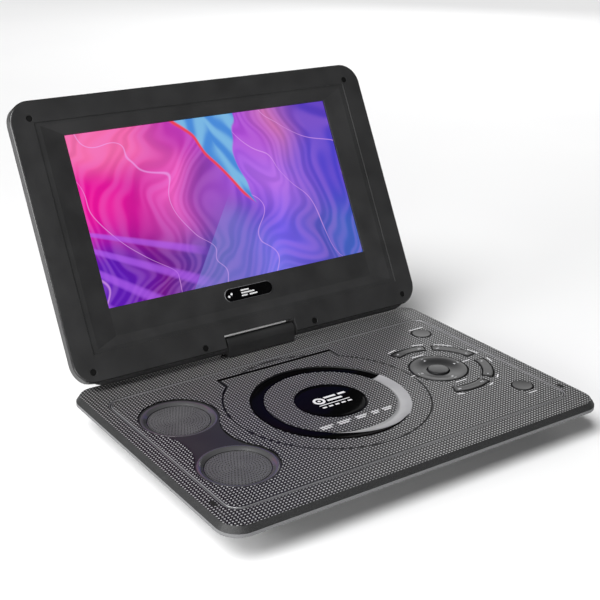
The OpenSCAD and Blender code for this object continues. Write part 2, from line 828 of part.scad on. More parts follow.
module spindle_motor() {
  top = chassis_z + chassis_t + 0.8;
  color(steel_col) translate([door_x, disc_y, 0]) difference() {
    union() {
      translate([0, 0, floor_z + 2.2]) cylinder(h = chassis_z - floor_z - 2.3, r = motor_r);
      translate([0, 0, chassis_z - 0.2]) cylinder(h = top - chassis_z + 0.2, r = 6);
    }
    translate([0, 0, floor_z + 2.4]) cylinder(h = 20, r = 1 + slip_gap);
  }
}

module mech_chassis() {
  color("#8d9094") difference() {
    union() {
      span_box([chassis_x0, disc_y - chassis_hd, chassis_z],
        [chassis_x1, disc_y + chassis_hd, chassis_z + chassis_t]);
      for (x = [rod_x0, rod_x1], s = [-1, 1])
        span_box([x, disc_y + s * rod_y - 2, chassis_z], [x + stand_t, disc_y + s * rod_y + 2, rod_z + 1.5]);
      span_box([rod_x1, disc_y - screw_y - 2.5, screw_z - 2.2],
        [chassis_x1, disc_y - screw_y + 2.5, chassis_z + eps]);
    }
    translate([door_x, disc_y, chassis_z - over]) cylinder(h = 4, r = 6.2);
    span_box([lens_x - sled_l / 2 - 1, disc_y - 10, chassis_z - over],
      [rod_x1 - 2, disc_y + 10, chassis_z + chassis_t + over]);
    span_box([chassis_x0 + 12, disc_y - screw_y - 5.2, chassis_z - over],
      [rod_x1 - 0.2, disc_y - screw_y + 4.2, chassis_z + chassis_t + over]);
    for (s = [-1, 1]) translate([0, disc_y + s * rod_y, rod_z]) rod_x(rod_r, rod_x0 - 2, chassis_x1 + 2);
    translate([0, disc_y - screw_y, screw_z]) rod_x(1.05, rod_x1 - 1, chassis_x1 + 2);
    for (p = damper_at()) translate([p[0], p[1], chassis_z - over]) cylinder(h = 4, r = 1.6);
  }
}

module mech_dampers() {
  color(rubber_col)
    for (p = damper_at()) translate([p[0], p[1], chassis_z - damper_h]) {
      cylinder(h = damper_h, r = damper_r);
      cylinder(h = damper_h + chassis_t, r = 1.5);
      translate([0, 0, damper_h + chassis_t]) cylinder(h = 0.8, r1 = 2.2, r2 = 1.6);
    }
}

module guide_rods() {
  color(steel_col)
    for (s = [-1, 1]) translate([0, disc_y + s * rod_y, rod_z]) rod_x(rod_r, rod_x0, chassis_x1);
}

module sled_motor() {
  color(steel_col) translate([0, disc_y - screw_y, screw_z]) difference() {
    rod_x(4.2, chassis_x0 + 12.5, rod_x0 + 1.5);
    rod_x(1.05, rod_x0 - 6, rod_x0 + 4);
  }
}

module lead_screw() {
  color(brass_col) translate([0, disc_y - screw_y, screw_z]) {
    rod_x(1, rod_x0 - 5, chassis_x1 + 0.4);
    rod_x(screw_r, rod_x0 + 2, rod_x1 - 0.8);
  }
}

module pickup_sled() {
  color("#303236") difference() {
    union() {
      span_box([lens_x - sled_l / 2, disc_y - sled_hw, sled_z], [lens_x + sled_l / 2, disc_y + sled_hw, sled_top]);
      span_box([lens_x - 5, disc_y - 8.5, sled_top - eps], [lens_x + 5, disc_y + 8.5, sled_top + 1.5]);
      span_box([lens_x - 4, disc_y - screw_y - 3.2, screw_z - 3], [lens_x + 4, disc_y - sled_hw + eps, sled_top]);
    }
    for (s = [-1, 1])
      translate([0, disc_y + s * rod_y, rod_z]) rod_x(rod_r + slip_gap, lens_x - sled_l, lens_x + sled_l);
    translate([0, disc_y - screw_y, screw_z]) rod_x(screw_r + fit_gap, lens_x - 8, lens_x + 8);
  }
}

module pickup_lens() {
  color("#9fb8d8") translate([lens_x, disc_y, sled_top + 1.5]) {
    cylinder(h = 0.5, r = 2.8);
    translate([0, 0, 0.5]) cylinder(h = 0.4, r1 = 2.2, r2 = 1.4);
  }
}

module key_board() {
  color(board_col) difference() {
    span_box([key_board_x0, key_board_y0, key_board_z], [key_board_x1, key_board_y1, key_board_z + board_t]);
    for (p = screw_at) translate([p[0], p[1], key_board_z - over]) cylinder(h = 4, r = boss_r + 0.8);
  }
}

// Where the switches sit under the keys
function polar(r, a) = [pad_x + r * cos(a), pad_y + r * sin(a)];
function switch_at() = concat(
  [for (i = [0:3], e = [0, 1]) polar((rocker_ri + rocker_ro) / 2, rocker_a[i][e] + (1 - 2 * e) * 6)],
  [for (a = [0, 90, 180, 270]) polar(pad_switch_r, a)],
  [polar(0, 0), [button_x, button_y_rear], [button_x, button_y_front]]);

module tact_switches() {
  color(steel_col)
    for (p = switch_at()) translate([p[0], p[1], switch_z]) {
      translate([-switch_s / 2, -switch_s / 2, 0]) cube([switch_s, switch_s, 0.7]);
      translate([0, 0, 0.7 - eps]) cylinder(h = switch_h - 0.7 + eps, r = 1.6);
    }
}

module dpad_ring() {
  r = pad_r - key_gap;
  top = deck_z + key_rise;
  color(satin_col) translate([pad_x, pad_y, 0]) rotate_extrude() polygon([
    [pad_hole_r + 0.2, pivot_z + 0.6], [13.6, pivot_z + 0.6], [13.6, key_under], [r + key_lip, key_under],
    [r + key_lip, key_under + 0.7], [r, key_under + 0.7], [r, top - 0.4], [r - 0.5, top], [r - 2, top],
    [r - 7, top - 0.8], [pad_hole_r + 1.4, top - 1], [pad_hole_r + 0.2, top - 0.7]]);
}

module dpad_gimbal() {
  color(chip_col) translate([pad_x, pad_y, 0]) difference() {
    union() {
      translate([0, 0, pivot_z - 1.1]) cylinder(h = 0.6, r = 12.5);
      span_box([-12, -0.5, switch_z + slip_gap], [12, 0.5, pivot_z - 1]);
      span_box([-0.5, -12, pivot_z - 0.6], [0.5, 12, pivot_z + 0.55]);
    }
    translate([0, 0, switch_z - over]) cylinder(h = 5, r = 9);
  }
}

module dpad_button() {
  r = pad_hole_r - key_gap;
  top = deck_z - 0.4;
  color(satin_col) translate([pad_x, pad_y, 0]) rotate_extrude() polygon([
    [0, key_under], [3, key_under], [3, pivot_z + 0.8], [r, pivot_z + 0.8], [r, top - 0.5],
    [r - 0.6, top], [r - 3, top + 0.25], [0, top + 0.35]]);
}

// Curved key number i with a retaining lip, and an embossed mark near each end
module rocker(i) {
  top = deck_z + key_rise;
  color(satin_col) {
    translate([0, 0, key_under + 0.8]) linear_extrude(top - key_under - 0.8) rocker_shape(i, key_gap);
    translate([0, 0, key_under + 0.3]) linear_extrude(0.6) rocker_shape(i, key_gap - key_lip + 0.2);
    for (e = [0, 1]) {
      p = polar((rocker_ri + rocker_ro) / 2, rocker_a[i][e] + (1 - 2 * e) * 6);
      translate([p[0], p[1], top - eps]) cylinder(h = 0.15 + eps, r = 0.9);
    }
  }
}

module rocker_rear_left() { rocker(0); }
module rocker_rear_right() { rocker(1); }
module rocker_right() { rocker(2); }
module rocker_front() { rocker(3); }

module round_button(y) {
  r = button_r - key_gap;
  top = deck_z + key_rise;
  color(satin_col) translate([button_x, y, 0]) rotate_extrude() polygon([
    [0, key_under], [r + key_lip, key_under], [r + key_lip, key_under + 1.2], [r, key_under + 1.2],
    [r, top - 0.4], [r - 0.5, top], [r - 3, top - 0.15], [0, top - 0.25]]);
}

module button_rear() { round_button(button_y_rear); }
module button_front() { round_button(button_y_front); }

module main_board() {
  y1 = port_y;
  color(board_col) difference() {
    union() {
      span_box([main_x0, main_y0, main_z], [main_x1, y1, main_top]);
      span_box([port_board_x0, y1 - port_board_d, main_z], [main_x1, y1, main_top]);
    }
    for (p = screw_at) translate([p[0], p[1], main_z - over]) cylinder(h = 4, r = boss_r + 0.8);
  }
  color(chip_col) {
    span_box([78, -8, main_top - eps], [100, 14, main_top + 1.6]);
    span_box([78, 24, main_top - eps], [90, 34, main_top + 1.2]);
    span_box([98, 22, main_top - eps], [112, 32, main_top + 1.2]);
    span_box([76, -34, main_top - eps], [90, -22, main_top + 3]);
    for (i = [0:3]) translate([102, -34 + 11 * i, main_top - eps]) cylinder(h = 4.4, r = 3);
  }
}

// Socket for a round plug, opening to the back
module round_socket(x, w, h, r, depth) {
  difference() {
    union() {
      span_box([x - w / 2, port_y - 12, main_top], [x + w / 2, port_y, main_top + h]);
      translate([x, port_y - eps, jack_z]) rotate([-90, 0, 0]) cylinder(h = port_face - port_y + eps, r = 3);
    }
    translate([x, port_face - depth, jack_z]) rotate([-90, 0, 0]) cylinder(h = depth + over, r = r);
  }
}

module headphone_jack() { color(chip_col) round_socket(phones_x, 7, 5.4, jack_r, 12); }
module av_jack() { color("#c9a21a") round_socket(av_x, 7, 5.4, jack_r, 12); }

module dc_jack() {
  depth = 9;
  color(chip_col) round_socket(dc_x, 9, 5.8, 2.2, depth);
  color(chip_col) translate([dc_x, port_face - depth - eps, jack_z]) rotate([-90, 0, 0])
    cylinder(h = depth - 1.5, r = 0.6);
}

module usb_port() {
  color(steel_col) difference() {
    span_box([usb_x - usb_w / 2, port_y - 13, main_top], [usb_x + usb_w / 2, port_face, main_top + usb_h]);
    span_box([usb_x - usb_w / 2 + 0.6, port_y - 10, main_top + 0.6],
      [usb_x + usb_w / 2 - 0.6, port_face + over, main_top + usb_h - 0.6]);
  }
  color("#e8e8e8")
    span_box([usb_x - 5.4, port_y - 10 - eps, main_top + 3.2], [usb_x + 5.4, port_face - 1, main_top + 4.6]);
}

module card_slot() {
  color(steel_col) difference() {
    span_box([card_x - card_w / 2, port_y - 18, main_top], [card_x + card_w / 2, port_face, main_top + card_h]);
    span_box([card_x - card_w / 2 + 0.6, port_y - 16, main_top + 0.4],
      [card_x + card_w / 2 - 0.6, port_face + over, main_top + card_h - 0.4]);
  }
}

module power_switch() {
  color(steel_col) difference() {
    span_box([switch_x - 5.4, port_y - 7, main_top], [switch_x + 5.4, port_y - 0.4, main_top + 6]);
    span_box([switch_x - 4, port_y - 3, jack_z - 1.3], [switch_x + 4, port_y + over, jack_z + 1.3]);
  }
}

module power_knob() {
  x = switch_x - 2;
  color(chip_col) {
    span_box([x - 1.4, port_y - 2.8, jack_z - 1.1], [x + 1.4, port_face + 0.6, jack_z + 1.1]);
    for (i = [-1:1])
      span_box([x + i * 0.9 - 0.2, port_face + 0.6 - eps, jack_z - 1.1],
        [x + i * 0.9 + 0.2, port_face + 0.9, jack_z + 1.1]);
  }
}

// Half of the hinge block: s is -1 for the front half and 1 for the rear half
module hinge_half(s) {
  far = 2 * block_r;
  color(shell_col) intersection() {
    difference() {
      union() {
        translate([0, tilt_y, tilt_z]) rod_x(block_r, -block_w / 2, block_w / 2);
        span_box([-block_w / 2, tilt_y - block_r, block_z], [block_w / 2, tilt_y + block_r, tilt_z]);
      }
      translate([0, tilt_y, tilt_z]) rod_x(block_in_r, -cavity_hw, cavity_hw);
      span_box([-cavity_hw, tilt_y - block_in_r, flange_top], [cavity_hw, tilt_y + block_in_r, tilt_z]);
      translate([0, tilt_y, tilt_z]) rod_x(shaft_r + 0.2, -block_w, block_w);
      translate([0, swivel_y, block_z - over]) cylinder(h = floor_t + 2 * over, r = post_r);
    }
    span_box([-block_w, tilt_y + min(0, s * far), deck_z], [block_w, tilt_y + max(0, s * far), tilt_z + far]);
  }
}

module hinge_front_shell() { hinge_half(-1); }
module hinge_rear_shell() { hinge_half(1); }

module swivel_post() {
  z0 = deck_under - boss_h - fit_gap - washer_t;
  color(steel_col) difference() {
    union() {
      translate([0, swivel_y, z0]) cylinder(h = flange_top - z0 + eps, r = post_r);
      span_box([-clip_x - clip_w / 2, tilt_y - block_in_r + 0.1, flange_top],
        [clip_x + clip_w / 2, tilt_y + block_in_r - 0.1, flange_top + plate_t]);
    }
    translate([0, swivel_y, z0 - over]) cylinder(h = 20, r = post_hole_r);
  }
}

module swivel_washer() {
  color(steel_col) translate([0, swivel_y, deck_under - boss_h - fit_gap - washer_t]) difference() {
    cylinder(h = washer_t, r = washer_r);
    translate([0, 0, -over]) cylinder(h = washer_t + 2 * over, r = post_r);
  }
}

module friction_clips() {
  color("#7d8085")
    for (s = [-1, 1]) translate([s * clip_x, 0, 0]) difference() {
      union() {
        translate([0, tilt_y, tilt_z]) rod_x(clip_r, -clip_w / 2, clip_w / 2);
        span_box([-clip_w / 2, tilt_y - 2.6, flange_top + plate_t], [clip_w / 2, tilt_y + 2.6, tilt_z]);
      }
      translate([0, tilt_y, tilt_z]) rod_x(shaft_r + slip_gap, -clip_w, clip_w);
    }
}

// Puts a piece drawn in the lid's own axes where the lid stands
module lid_place() {
  translate([0, tilt_y, tilt_z]) rotate([180 - lid_open, 0, 0]) children();
}

module tilt_shaft() {
  color(steel_col) lid_place() rod_x(shaft_r, -shaft_hw, shaft_hw);
}

module hinge_brackets() {
  x0 = notch_hw + lid_wall;
  color("#7d8085") lid_place()
    for (s = [-1, 1]) mirror([s < 0 ? 1 : 0, 0, 0]) difference() {
      union() {
        rod_x(knuckle_r, x0, x0 + knuckle_l);
        span_box([x0, 0, -bracket_t / 2], [x0 + knuckle_l, bracket_h, bracket_t / 2]);
        span_box([x0, bracket_h - 8, -bracket_t / 2], [x0 + knuckle_l + 14, bracket_h, bracket_t / 2]);
      }
      rod_x(shaft_r, x0 - over, x0 + knuckle_l + over);
    }
}

// Round lower edge of the lid, about the tilt axis, between depths n0 and n1. It runs out
// into the lid's outline before the corners
module lid_edge_roll(n0, n1) {
  intersection() {
    rod_x(lid_roll, -lid_w / 2, lid_w / 2);
    translate([0, lid_h / 2 - lid_roll, n0]) linear_extrude(n1 - n0)
      round_rect(lid_w - 2 * roll_in, lid_h, lid_r);
    span_box([-lid_w / 2, -lid_roll - over, n0 - over], [lid_w / 2, lid_low + lid_wall - 1, n1 + over]);
  }
}

// Room for the hinge at the bottom of the lid
module lid_notch() {
  span_box([-notch_hw, -lid_roll - over, -lid_back - over], [notch_hw, notch_v, lid_front + over]);
  rod_x(shaft_r + 0.15, -notch_hw - lid_wall - eps, notch_hw + lid_wall + eps);
  for (s = [-1, 1]) mirror([s < 0 ? 1 : 0, 0, 0])
    rod_x(knuckle_r + 0.1, notch_hw + lid_wall, notch_hw + lid_wall + knuckle_l + 0.2);
}

// Outline of the room inside the lid, clear of the hinge notch
module lid_room() {
  difference() {
    translate([0, lid_mid]) round_rect(lid_w - 2 * lid_wall, lid_h - 2 * lid_wall, lid_r - lid_wall);
    translate([-notch_hw - lid_wall, lid_low - over])
      square([2 * (notch_hw + lid_wall), notch_v + lid_wall - lid_low + over]);
  }
}

module lid_bezel() {
  recess_top = lid_low + lid_h - recess_high;
  color(shell_col) lid_place() difference() {
    union() {
      difference() {
        union() {
          translate([0, lid_mid, 0]) linear_extrude(lid_front - 1) round_rect(lid_w, lid_h, lid_r);
          translate([0, lid_mid, lid_front - 1]) bevel_slab(lid_w, lid_h, lid_r, 1, 1);
        }
        translate([0, 0, -over]) linear_extrude(lid_front - lid_t + over) lid_room();
      }
      span_box([-recess_x - 2, lid_low + recess_low - 2, plate_z - pan_t],
        [recess_x + 2, recess_top + 2, lid_front - lid_t + eps]);
      for (p = plug_at)
        translate([p[0], lid_low + p[1], 0]) cylinder(h = lid_front - lid_t + eps, r = plug_r + 1);
      lid_edge_roll(0, lid_front);
    }
    span_box([-recess_x, lid_low + recess_low, lid_front - recess_step], [recess_x, recess_top, lid_front + over]);
    taper_box(
      [-lcd_w / 2 - window_gap, lcd_w / 2 + window_gap, lid_low + plate_low, lcd_v + lcd_h / 2 + window_gap],
      [-slope_x, slope_x, lid_low + slope_low, lid_low + lid_h - slope_high],
      plate_z, lid_front - recess_step + eps);
    translate([0, lcd_v, plate_z])
      cube([lcd_w + 2 * window_gap, lcd_h + 2 * window_gap, 4 * pan_t], center = true);
    translate([0, pill_v(), plate_z - 0.6]) linear_extrude(over) pill_shape(0);
    for (p = plug_at) {
      translate([p[0], lid_low + p[1], lid_front - plug_h]) cylinder(h = plug_h + over, r = plug_r);
      translate([p[0], lid_low + p[1], -over]) cylinder(h = lid_front, r = 1.2);
    }
    lid_notch();
  }
}

// Middle of the pill-shaped window up the lid's face
function pill_v() = lcd_v - lcd_h / 2 - pill_down;

// Outline of the pill-shaped window, shrunk by g
module pill_shape(g) {
  round_rect(pill_w - 2 * g, pill_h - 2 * g, pill_h / 2 - g - eps);
}

module ir_window() {
  color(gloss_col) lid_place() translate([0, pill_v(), plate_z - 0.6]) {
    linear_extrude(1.2) pill_shape(0.1);
    for (x = [3, 5.4])
      translate([-pill_w / 2 + x, (x - 4.2) * 0.6, 1.2 - eps]) cylinder(h = 0.1, r = 0.6, $fn = 32);
  }
}

module lid_plugs() {
  color(rubber_col) lid_place()
    for (p = plug_at)
      translate([p[0], lid_low + p[1], lid_front - plug_h]) cylinder(h = plug_h - 0.15, r = plug_r - 0.1);
}

// The lid's back between its rim and its flat, inset by g
module lid_back_shape(g) {
  top = lid_low + lid_h;
  taper_box(
    [-lid_w / 2 + lid_back_in, lid_w / 2 - lid_back_in, lid_low + 2.5 + g, top - lid_back_in],
    [-lid_w / 2 + g, lid_w / 2 - g, lid_low + g, top - g],
    -lid_back + g * 0.8, -lid_rim);
}

module lid_rear_cover() {
  color(shell_col) lid_place() difference() {
    union() {
      difference() {
        union() {
          translate([0, lid_mid, -lid_rim]) linear_extrude(lid_rim) round_rect(lid_w, lid_h, lid_r);
          intersection() {
            lid_back_shape(0);
            translate([0, lid_mid, -lid_back - over])
              linear_extrude(lid_back + over - lid_rim + eps) round_rect(lid_w, lid_h, lid_r);
          }
        }
        intersection() {
          lid_back_shape(lid_wall);
          translate([0, 0, -lid_back - over]) linear_extrude(lid_back + over) lid_room();
        }
        translate([0, 0, -lid_rim - eps]) linear_extrude(lid_rim + over) lid_room();
      }
      for (p = plug_at)
        intersection() {
          lid_back_shape(0);
          translate([p[0], lid_low + p[1], -lid_back]) cylinder(h = lid_back, r = plug_r + 1);
        }
      for (p = plug_at)
        translate([p[0], lid_low + p[1], -lid_rim - eps]) cylinder(h = lid_rim + eps, r = plug_r + 1);
      lid_edge_roll(-lid_back, 0);
    }
    lid_notch();
    for (p = plug_at) translate([p[0], lid_low + p[1], -lid_rim - 1.2]) cylinder(h = 4, r = 1);
  }
}

module lcd_panel() {
  color(screen_col) lid_place()
    span_box([-lcd_w / 2 - lcd_border, lcd_v - lcd_h / 2 - lcd_border, glass_z - glass_t],
      [lcd_w / 2 + lcd_border, lcd_v + lcd_h / 2 + lcd_border, glass_z]);
}

module lcd_frame() {
  x = lcd_w / 2 + lcd_border;
  y0 = lcd_v - lcd_h / 2 - lcd_border;
  y1 = lcd_v + lcd_h / 2 + lcd_border;
  color(steel_col) lid_place() difference() {
    span_box([-x - 1.2, y0 - 1.2, glass_z - glass_t - frame_t], [x + 1.2, y1 + 1.2, glass_z - 0.6]);
    span_box([-x - slip_gap, y0 - slip_gap, glass_z - glass_t], [x + slip_gap, y1 + slip_gap, glass_z + over]);
  }
}

module lcd_board() {
  v0 = bracket_h + 1;
  color(board_col) lid_place() {
    span_box([-60, v0, -1.4], [50, v0 + 16, 0]);
    span_box([-40, v0 + 3, -eps], [-28, v0 + 12, 1.1]);
    span_box([10, v0 + 3, -eps], [34, v0 + 8, 1.2]);
  }
}

base_top_case();
base_bottom_case();
speaker_trim();
speaker_grille_rear();
speaker_grille_front();
speaker_driver_rear();
speaker_driver_front();
speaker_cones();
disc_tray();
mech_chassis();
mech_dampers();
guide_rods();
spindle_motor();
sled_motor();
main_board();
key_board();
tact_switches();
headphone_jack();
av_jack();
dc_jack();
usb_port();
card_slot();
power_switch();
battery_pack();
battery_cover();
rubber_feet();
case_screws();
rim_plugs();
disc_door();
door_ring();
door_hub_cap();
turntable();
hub_balls();
pickup_sled();
pickup_lens();
lead_screw();
dpad_ring();
dpad_gimbal();
dpad_button();
rocker_rear_left();
rocker_rear_right();
rocker_right();
rocker_front();
button_rear();
button_front();
power_knob();
hinge_front_shell();
hinge_rear_shell();
swivel_post();
friction_clips();
swivel_washer();
tilt_shaft();
hinge_brackets();
lid_bezel();
lid_rear_cover();
lcd_panel();
lcd_frame();
lcd_board();
ir_window();
lid_plugs();
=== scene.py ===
"""Finishes and fine pieces for a portable disc player, built round its CAD frame.

The frame is X to the right, Y to the back, Z up, in metres. Every new piece is a surface
worked out with numpy: a profile carried along a path, turned about an axis, or a grid of
cells. Each operator makes one piece or one group of like pieces.
"""

import json
import math

import bpy
import numpy as np
from bpy.props import FloatProperty, FloatVectorProperty, IntProperty, PointerProperty
from mathutils import Matrix, Vector


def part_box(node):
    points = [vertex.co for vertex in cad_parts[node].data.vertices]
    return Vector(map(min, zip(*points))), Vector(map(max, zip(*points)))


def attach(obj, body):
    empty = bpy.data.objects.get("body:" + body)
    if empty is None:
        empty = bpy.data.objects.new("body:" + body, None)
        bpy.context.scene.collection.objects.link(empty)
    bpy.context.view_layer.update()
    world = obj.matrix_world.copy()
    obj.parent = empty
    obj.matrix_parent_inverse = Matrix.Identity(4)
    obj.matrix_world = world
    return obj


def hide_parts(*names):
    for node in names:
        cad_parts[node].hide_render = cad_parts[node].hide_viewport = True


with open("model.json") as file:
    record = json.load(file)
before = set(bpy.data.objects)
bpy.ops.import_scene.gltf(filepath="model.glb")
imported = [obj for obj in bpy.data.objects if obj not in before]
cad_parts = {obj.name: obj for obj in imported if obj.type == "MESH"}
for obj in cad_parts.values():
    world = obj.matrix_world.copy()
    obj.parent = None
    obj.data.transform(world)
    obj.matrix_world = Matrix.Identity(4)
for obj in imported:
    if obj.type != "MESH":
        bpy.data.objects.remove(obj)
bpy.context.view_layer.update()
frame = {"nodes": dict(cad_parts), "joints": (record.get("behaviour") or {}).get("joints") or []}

bl_info = {
    "name": "Portable Disc Player",
    "version": (1, 0, 0),
    "blender": (4, 5, 0),
    "location": "View3D > Sidebar > Player",
    "description": "Fine pieces, finishes and a studio for a portable disc player",
    "category": "Object",
}

MM = 0.001
TURN = 2 * math.pi


# Places and levels that the frame gives


def middle_of(low, high):
    """The middle of a CAD node's box, seen from above."""
    return (low.x + high.x) / 2, (low.y + high.y) / 2


BASE_LOW, BASE_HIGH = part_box("base_top_case")
CAP_LOW, CAP_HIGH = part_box("door_hub_cap")
PAD_LOW, PAD_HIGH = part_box("dpad_ring")
GRILLE_BOXES = {side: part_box("speaker_grille_" + side) for side in ("rear", "front")}
DISC_AT = middle_of(CAP_LOW, CAP_HIGH)
PAD_AT = middle_of(PAD_LOW, PAD_HIGH)
TILT = next(j for j in frame["joints"] if j["name"] == "lid_tilt")
TILT_AT = TILT["pos_m"]
LID_ANGLE = math.radians(TILT["range_deg"][1])
KEY_RISE = 0.3 * MM
DECK = PAD_HIGH.z - KEY_RISE


class PlayerSizes(bpy.types.PropertyGroup):
    """Sizes of the fine pieces and of the patterns."""

    weave: FloatProperty(
        name="Emboss pitch", default=2.4 * MM, min=0.5 * MM, max=6 * MM, unit="LENGTH",
        subtype="DISTANCE", description="Distance between the raised diamonds on the deck")
    bead: FloatProperty(
        name="Groove bead", default=0.5 * MM, min=0.1 * MM, max=0.7 * MM, unit="LENGTH",
        subtype="DISTANCE", description="Width of the rounded bead along each side of the deck groove")
    hole: FloatProperty(
        name="Grille hole radius", default=0.6 * MM, min=0.3 * MM, max=0.8 * MM, unit="LENGTH",
        subtype="DISTANCE", description="Radius of a hole in the speaker grilles")
    hole_rings: IntProperty(
        name="Grille rings", default=10, min=4, max=12,
        description="Rings of holes round the middle hole of a grille")
    edge: FloatProperty(
        name="Edge rounding", default=0.3 * MM, min=0.05 * MM, max=1 * MM, unit="LENGTH",
        subtype="DISTANCE", description="Radius that softens the moulded edges")
    ink: FloatProperty(
        name="Print thickness", default=0.05 * MM, min=0.02 * MM, max=0.2 * MM, unit="LENGTH",
        subtype="DISTANCE", description="How far the printed marks stand on the deck")


class PlayerColours(bpy.types.PropertyGroup):
    """Colours of the finishes, in linear light."""

    # Deck gaps also gives, halved, the painted shade in the deck's recesses, and stays as a painted dark line
    # of shade where the diamonds stop along the seam and groove.
    deck_dark: FloatVectorProperty(
        name="Deck gaps", default=(0.004, 0.004, 0.0041), size=3, subtype="COLOR", min=0, max=1,
        description="Colour between the raised diamonds of the deck")
    deck_light: FloatVectorProperty(
        name="Deck diamonds", default=(0.4, 0.4, 0.406), size=3, subtype="COLOR", min=0, max=1,
        description="Colour of the raised diamonds of the deck")
    shell: FloatVectorProperty(
        name="Shell", default=(0.011, 0.011, 0.0112), size=3, subtype="COLOR", min=0, max=1,
        description="Colour of the lid, hinge and bottom case")
    band: FloatVectorProperty(
        name="Side band", default=(0.15, 0.151, 0.154), size=3, subtype="COLOR", min=0, max=1,
        description="Colour of the lighter band round the edge of the base")
    # Satin, made lighter, also gives the painted highlight on the groove beads and on the speakers' dish
    # rims.
    satin: FloatVectorProperty(
        name="Satin keys and trim", default=(0.030, 0.030, 0.031), size=3, subtype="COLOR",
        min=0, max=1, description="Colour of the keys and the speaker trim")
    scoop: FloatVectorProperty(
        name="Door scoop", default=(0.30, 0.30, 0.305), size=3, subtype="COLOR", min=0, max=1,
        description="Colour of the smooth scoop in the disc door")
    gloss: FloatVectorProperty(
        name="Gloss black", default=(0.0016, 0.0016, 0.0017), size=3, subtype="COLOR", min=0, max=1,
        description="Colour of the ring, hub cap and pill window")
    ink: FloatVectorProperty(
        name="Print", default=(0.75, 0.75, 0.76), size=3, subtype="COLOR", min=0, max=1,
        description="Colour of the printed marks")


class StudioSettings(bpy.types.PropertyGroup):
    """Camera and lights of the studio."""

    azimuth: FloatProperty(
        name="Azimuth", default=math.radians(-34.827), subtype="ANGLE", unit="ROTATION",
        description="Turn of the camera round the player; 0 looks along +Y")
    elevation: FloatProperty(
        name="Elevation", default=math.radians(21.587), subtype="ANGLE", unit="ROTATION",
        description="Height of the camera above the horizon")
    roll: FloatProperty(
        name="Roll", default=math.radians(0.708), subtype="ANGLE", unit="ROTATION",
        description="Turn of the camera about its own line of sight")
    distance: FloatProperty(
        name="Distance", default=0.82094, min=0.3, max=4, subtype="DISTANCE", unit="LENGTH",
        description="Distance from the camera to the point it looks at")
    target: FloatVectorProperty(
        name="Looks at", default=(0.00412, 0.05056, 0.07897), size=3, subtype="TRANSLATION",
        unit="LENGTH", description="Point at the middle of the picture")
    lens: FloatProperty(
        name="Focal length", default=69.97, min=20, max=200,
        description="Focal length in millimetres on a 36 mm sensor")
    room: FloatProperty(
        name="Room light", default=0.8, min=0, max=3,
        description="Strength of the white light from straight above")
    wall: FloatProperty(
        name="Wall light", default=0.3, min=0, max=3,
        description="Strength of the light from the walls, low down")


# Shapes worked out as whole arrays


def grid_quads(rows, columns, round_rows=False, round_columns=False):
    """Corner numbers of the quads between neighbours on a grid of rows and columns, with
    the last row or column joined to the first where that direction is closed."""
    i = np.arange(rows if round_rows else rows - 1)[:, None]
    j = np.arange(columns if round_columns else columns - 1)[None, :]
    up, right = (i + 1) % rows, (j + 1) % columns
    corners = [i * columns + j, i * columns + right, up * columns + right, up * columns + j]
    return np.stack(np.broadcast_arrays(*corners), axis=-1).reshape(-1, 4)


def welded(points, quads):
    """Points that fall together become one, which closes poles and seams. A quad that
    loses a side becomes a triangle, and one that loses more is dropped."""
    _, first, number = np.unique(np.round(points, 8), axis=0, return_index=True, return_inverse=True)
    quads = number.reshape(-1)[quads]
    gone = quads == np.roll(quads, -1, axis=1)
    sides_lost = gone.sum(axis=1)
    thin = sides_lost == 1
    kept = np.sort(np.argsort(gone[thin], axis=1, kind="stable")[:, :3], axis=1)
    return points[first], quads[sides_lost == 0], np.take_along_axis(quads[thin], kept, axis=1)


def outward(points, quads):
    """The quads turned so that their shape's signed volume, the sum of each corner's triple
    product with the next two, is positive. A closed shape then faces outwards."""
    middle = points.mean(axis=0)
    a, b, c, d = (points[quads[:, k]] - middle for k in range(4))
    volume = np.einsum("ij,ij->", a, np.cross(b, c)) + np.einsum("ij,ij->", a, np.cross(c, d))
    return quads if volume > 0 else quads[:, ::-1]


def joined(shapes):
    """Several (points, quads) shapes as one."""
    counts = np.cumsum([0] + [len(points) for points, _ in shapes])
    return (np.concatenate([points for points, _ in shapes]),
            np.concatenate([quads + start for (_, quads), start in zip(shapes, counts)]))


def turned(profile, steps=96, at=(0.0, 0.0), level=0.0):
    """A profile of (radius, height) points turned about an upright axis: x = r cos t and
    y = r sin t for t all the way round. It closes where the profile meets the axis, or
    where it comes back to its own start."""
    profile = np.asarray(profile, float) * MM
    t = np.linspace(0, TURN, steps, endpoint=False)[:, None]
    r, z = profile[:, 0][None, :], profile[:, 1][None, :]
    grid = np.stack([at[0] + r * np.cos(t), at[1] + r * np.sin(t), level + z + 0 * t], axis=-1)
    points = grid.reshape(-1, 3)
    return points, outward(points, grid_quads(*grid.shape[:2], round_rows=True))


def carried(profile, path, across, closed, up=(0, 0, 1)):
    """A closed profile of (outward, up) points, one set for the whole path or one for each
    of its points, carried along it: point = path + outward * across + height * up. An open
    path gets an end at each side, a fan to the middle of the profile there."""
    profile = np.broadcast_to(np.asarray(profile, float) * MM, (len(path), *np.shape(profile)[-2:]))
    path, across = np.asarray(path, float), np.asarray(across, float)
    grid = (path[:, None] + profile[..., :1] * across[:, None] + profile[..., 1:] * np.asarray(up, float))
    if not closed:
        first = np.broadcast_to(grid[0].mean(axis=0), grid[0].shape)
        last = np.broadcast_to(grid[-1].mean(axis=0), grid[-1].shape)
        grid = np.concatenate([first[None], grid, last[None]])
    points = grid.reshape(-1, 3)
    return points, outward(points, grid_quads(*grid.shape[:2], round_rows=closed, round_columns=True))


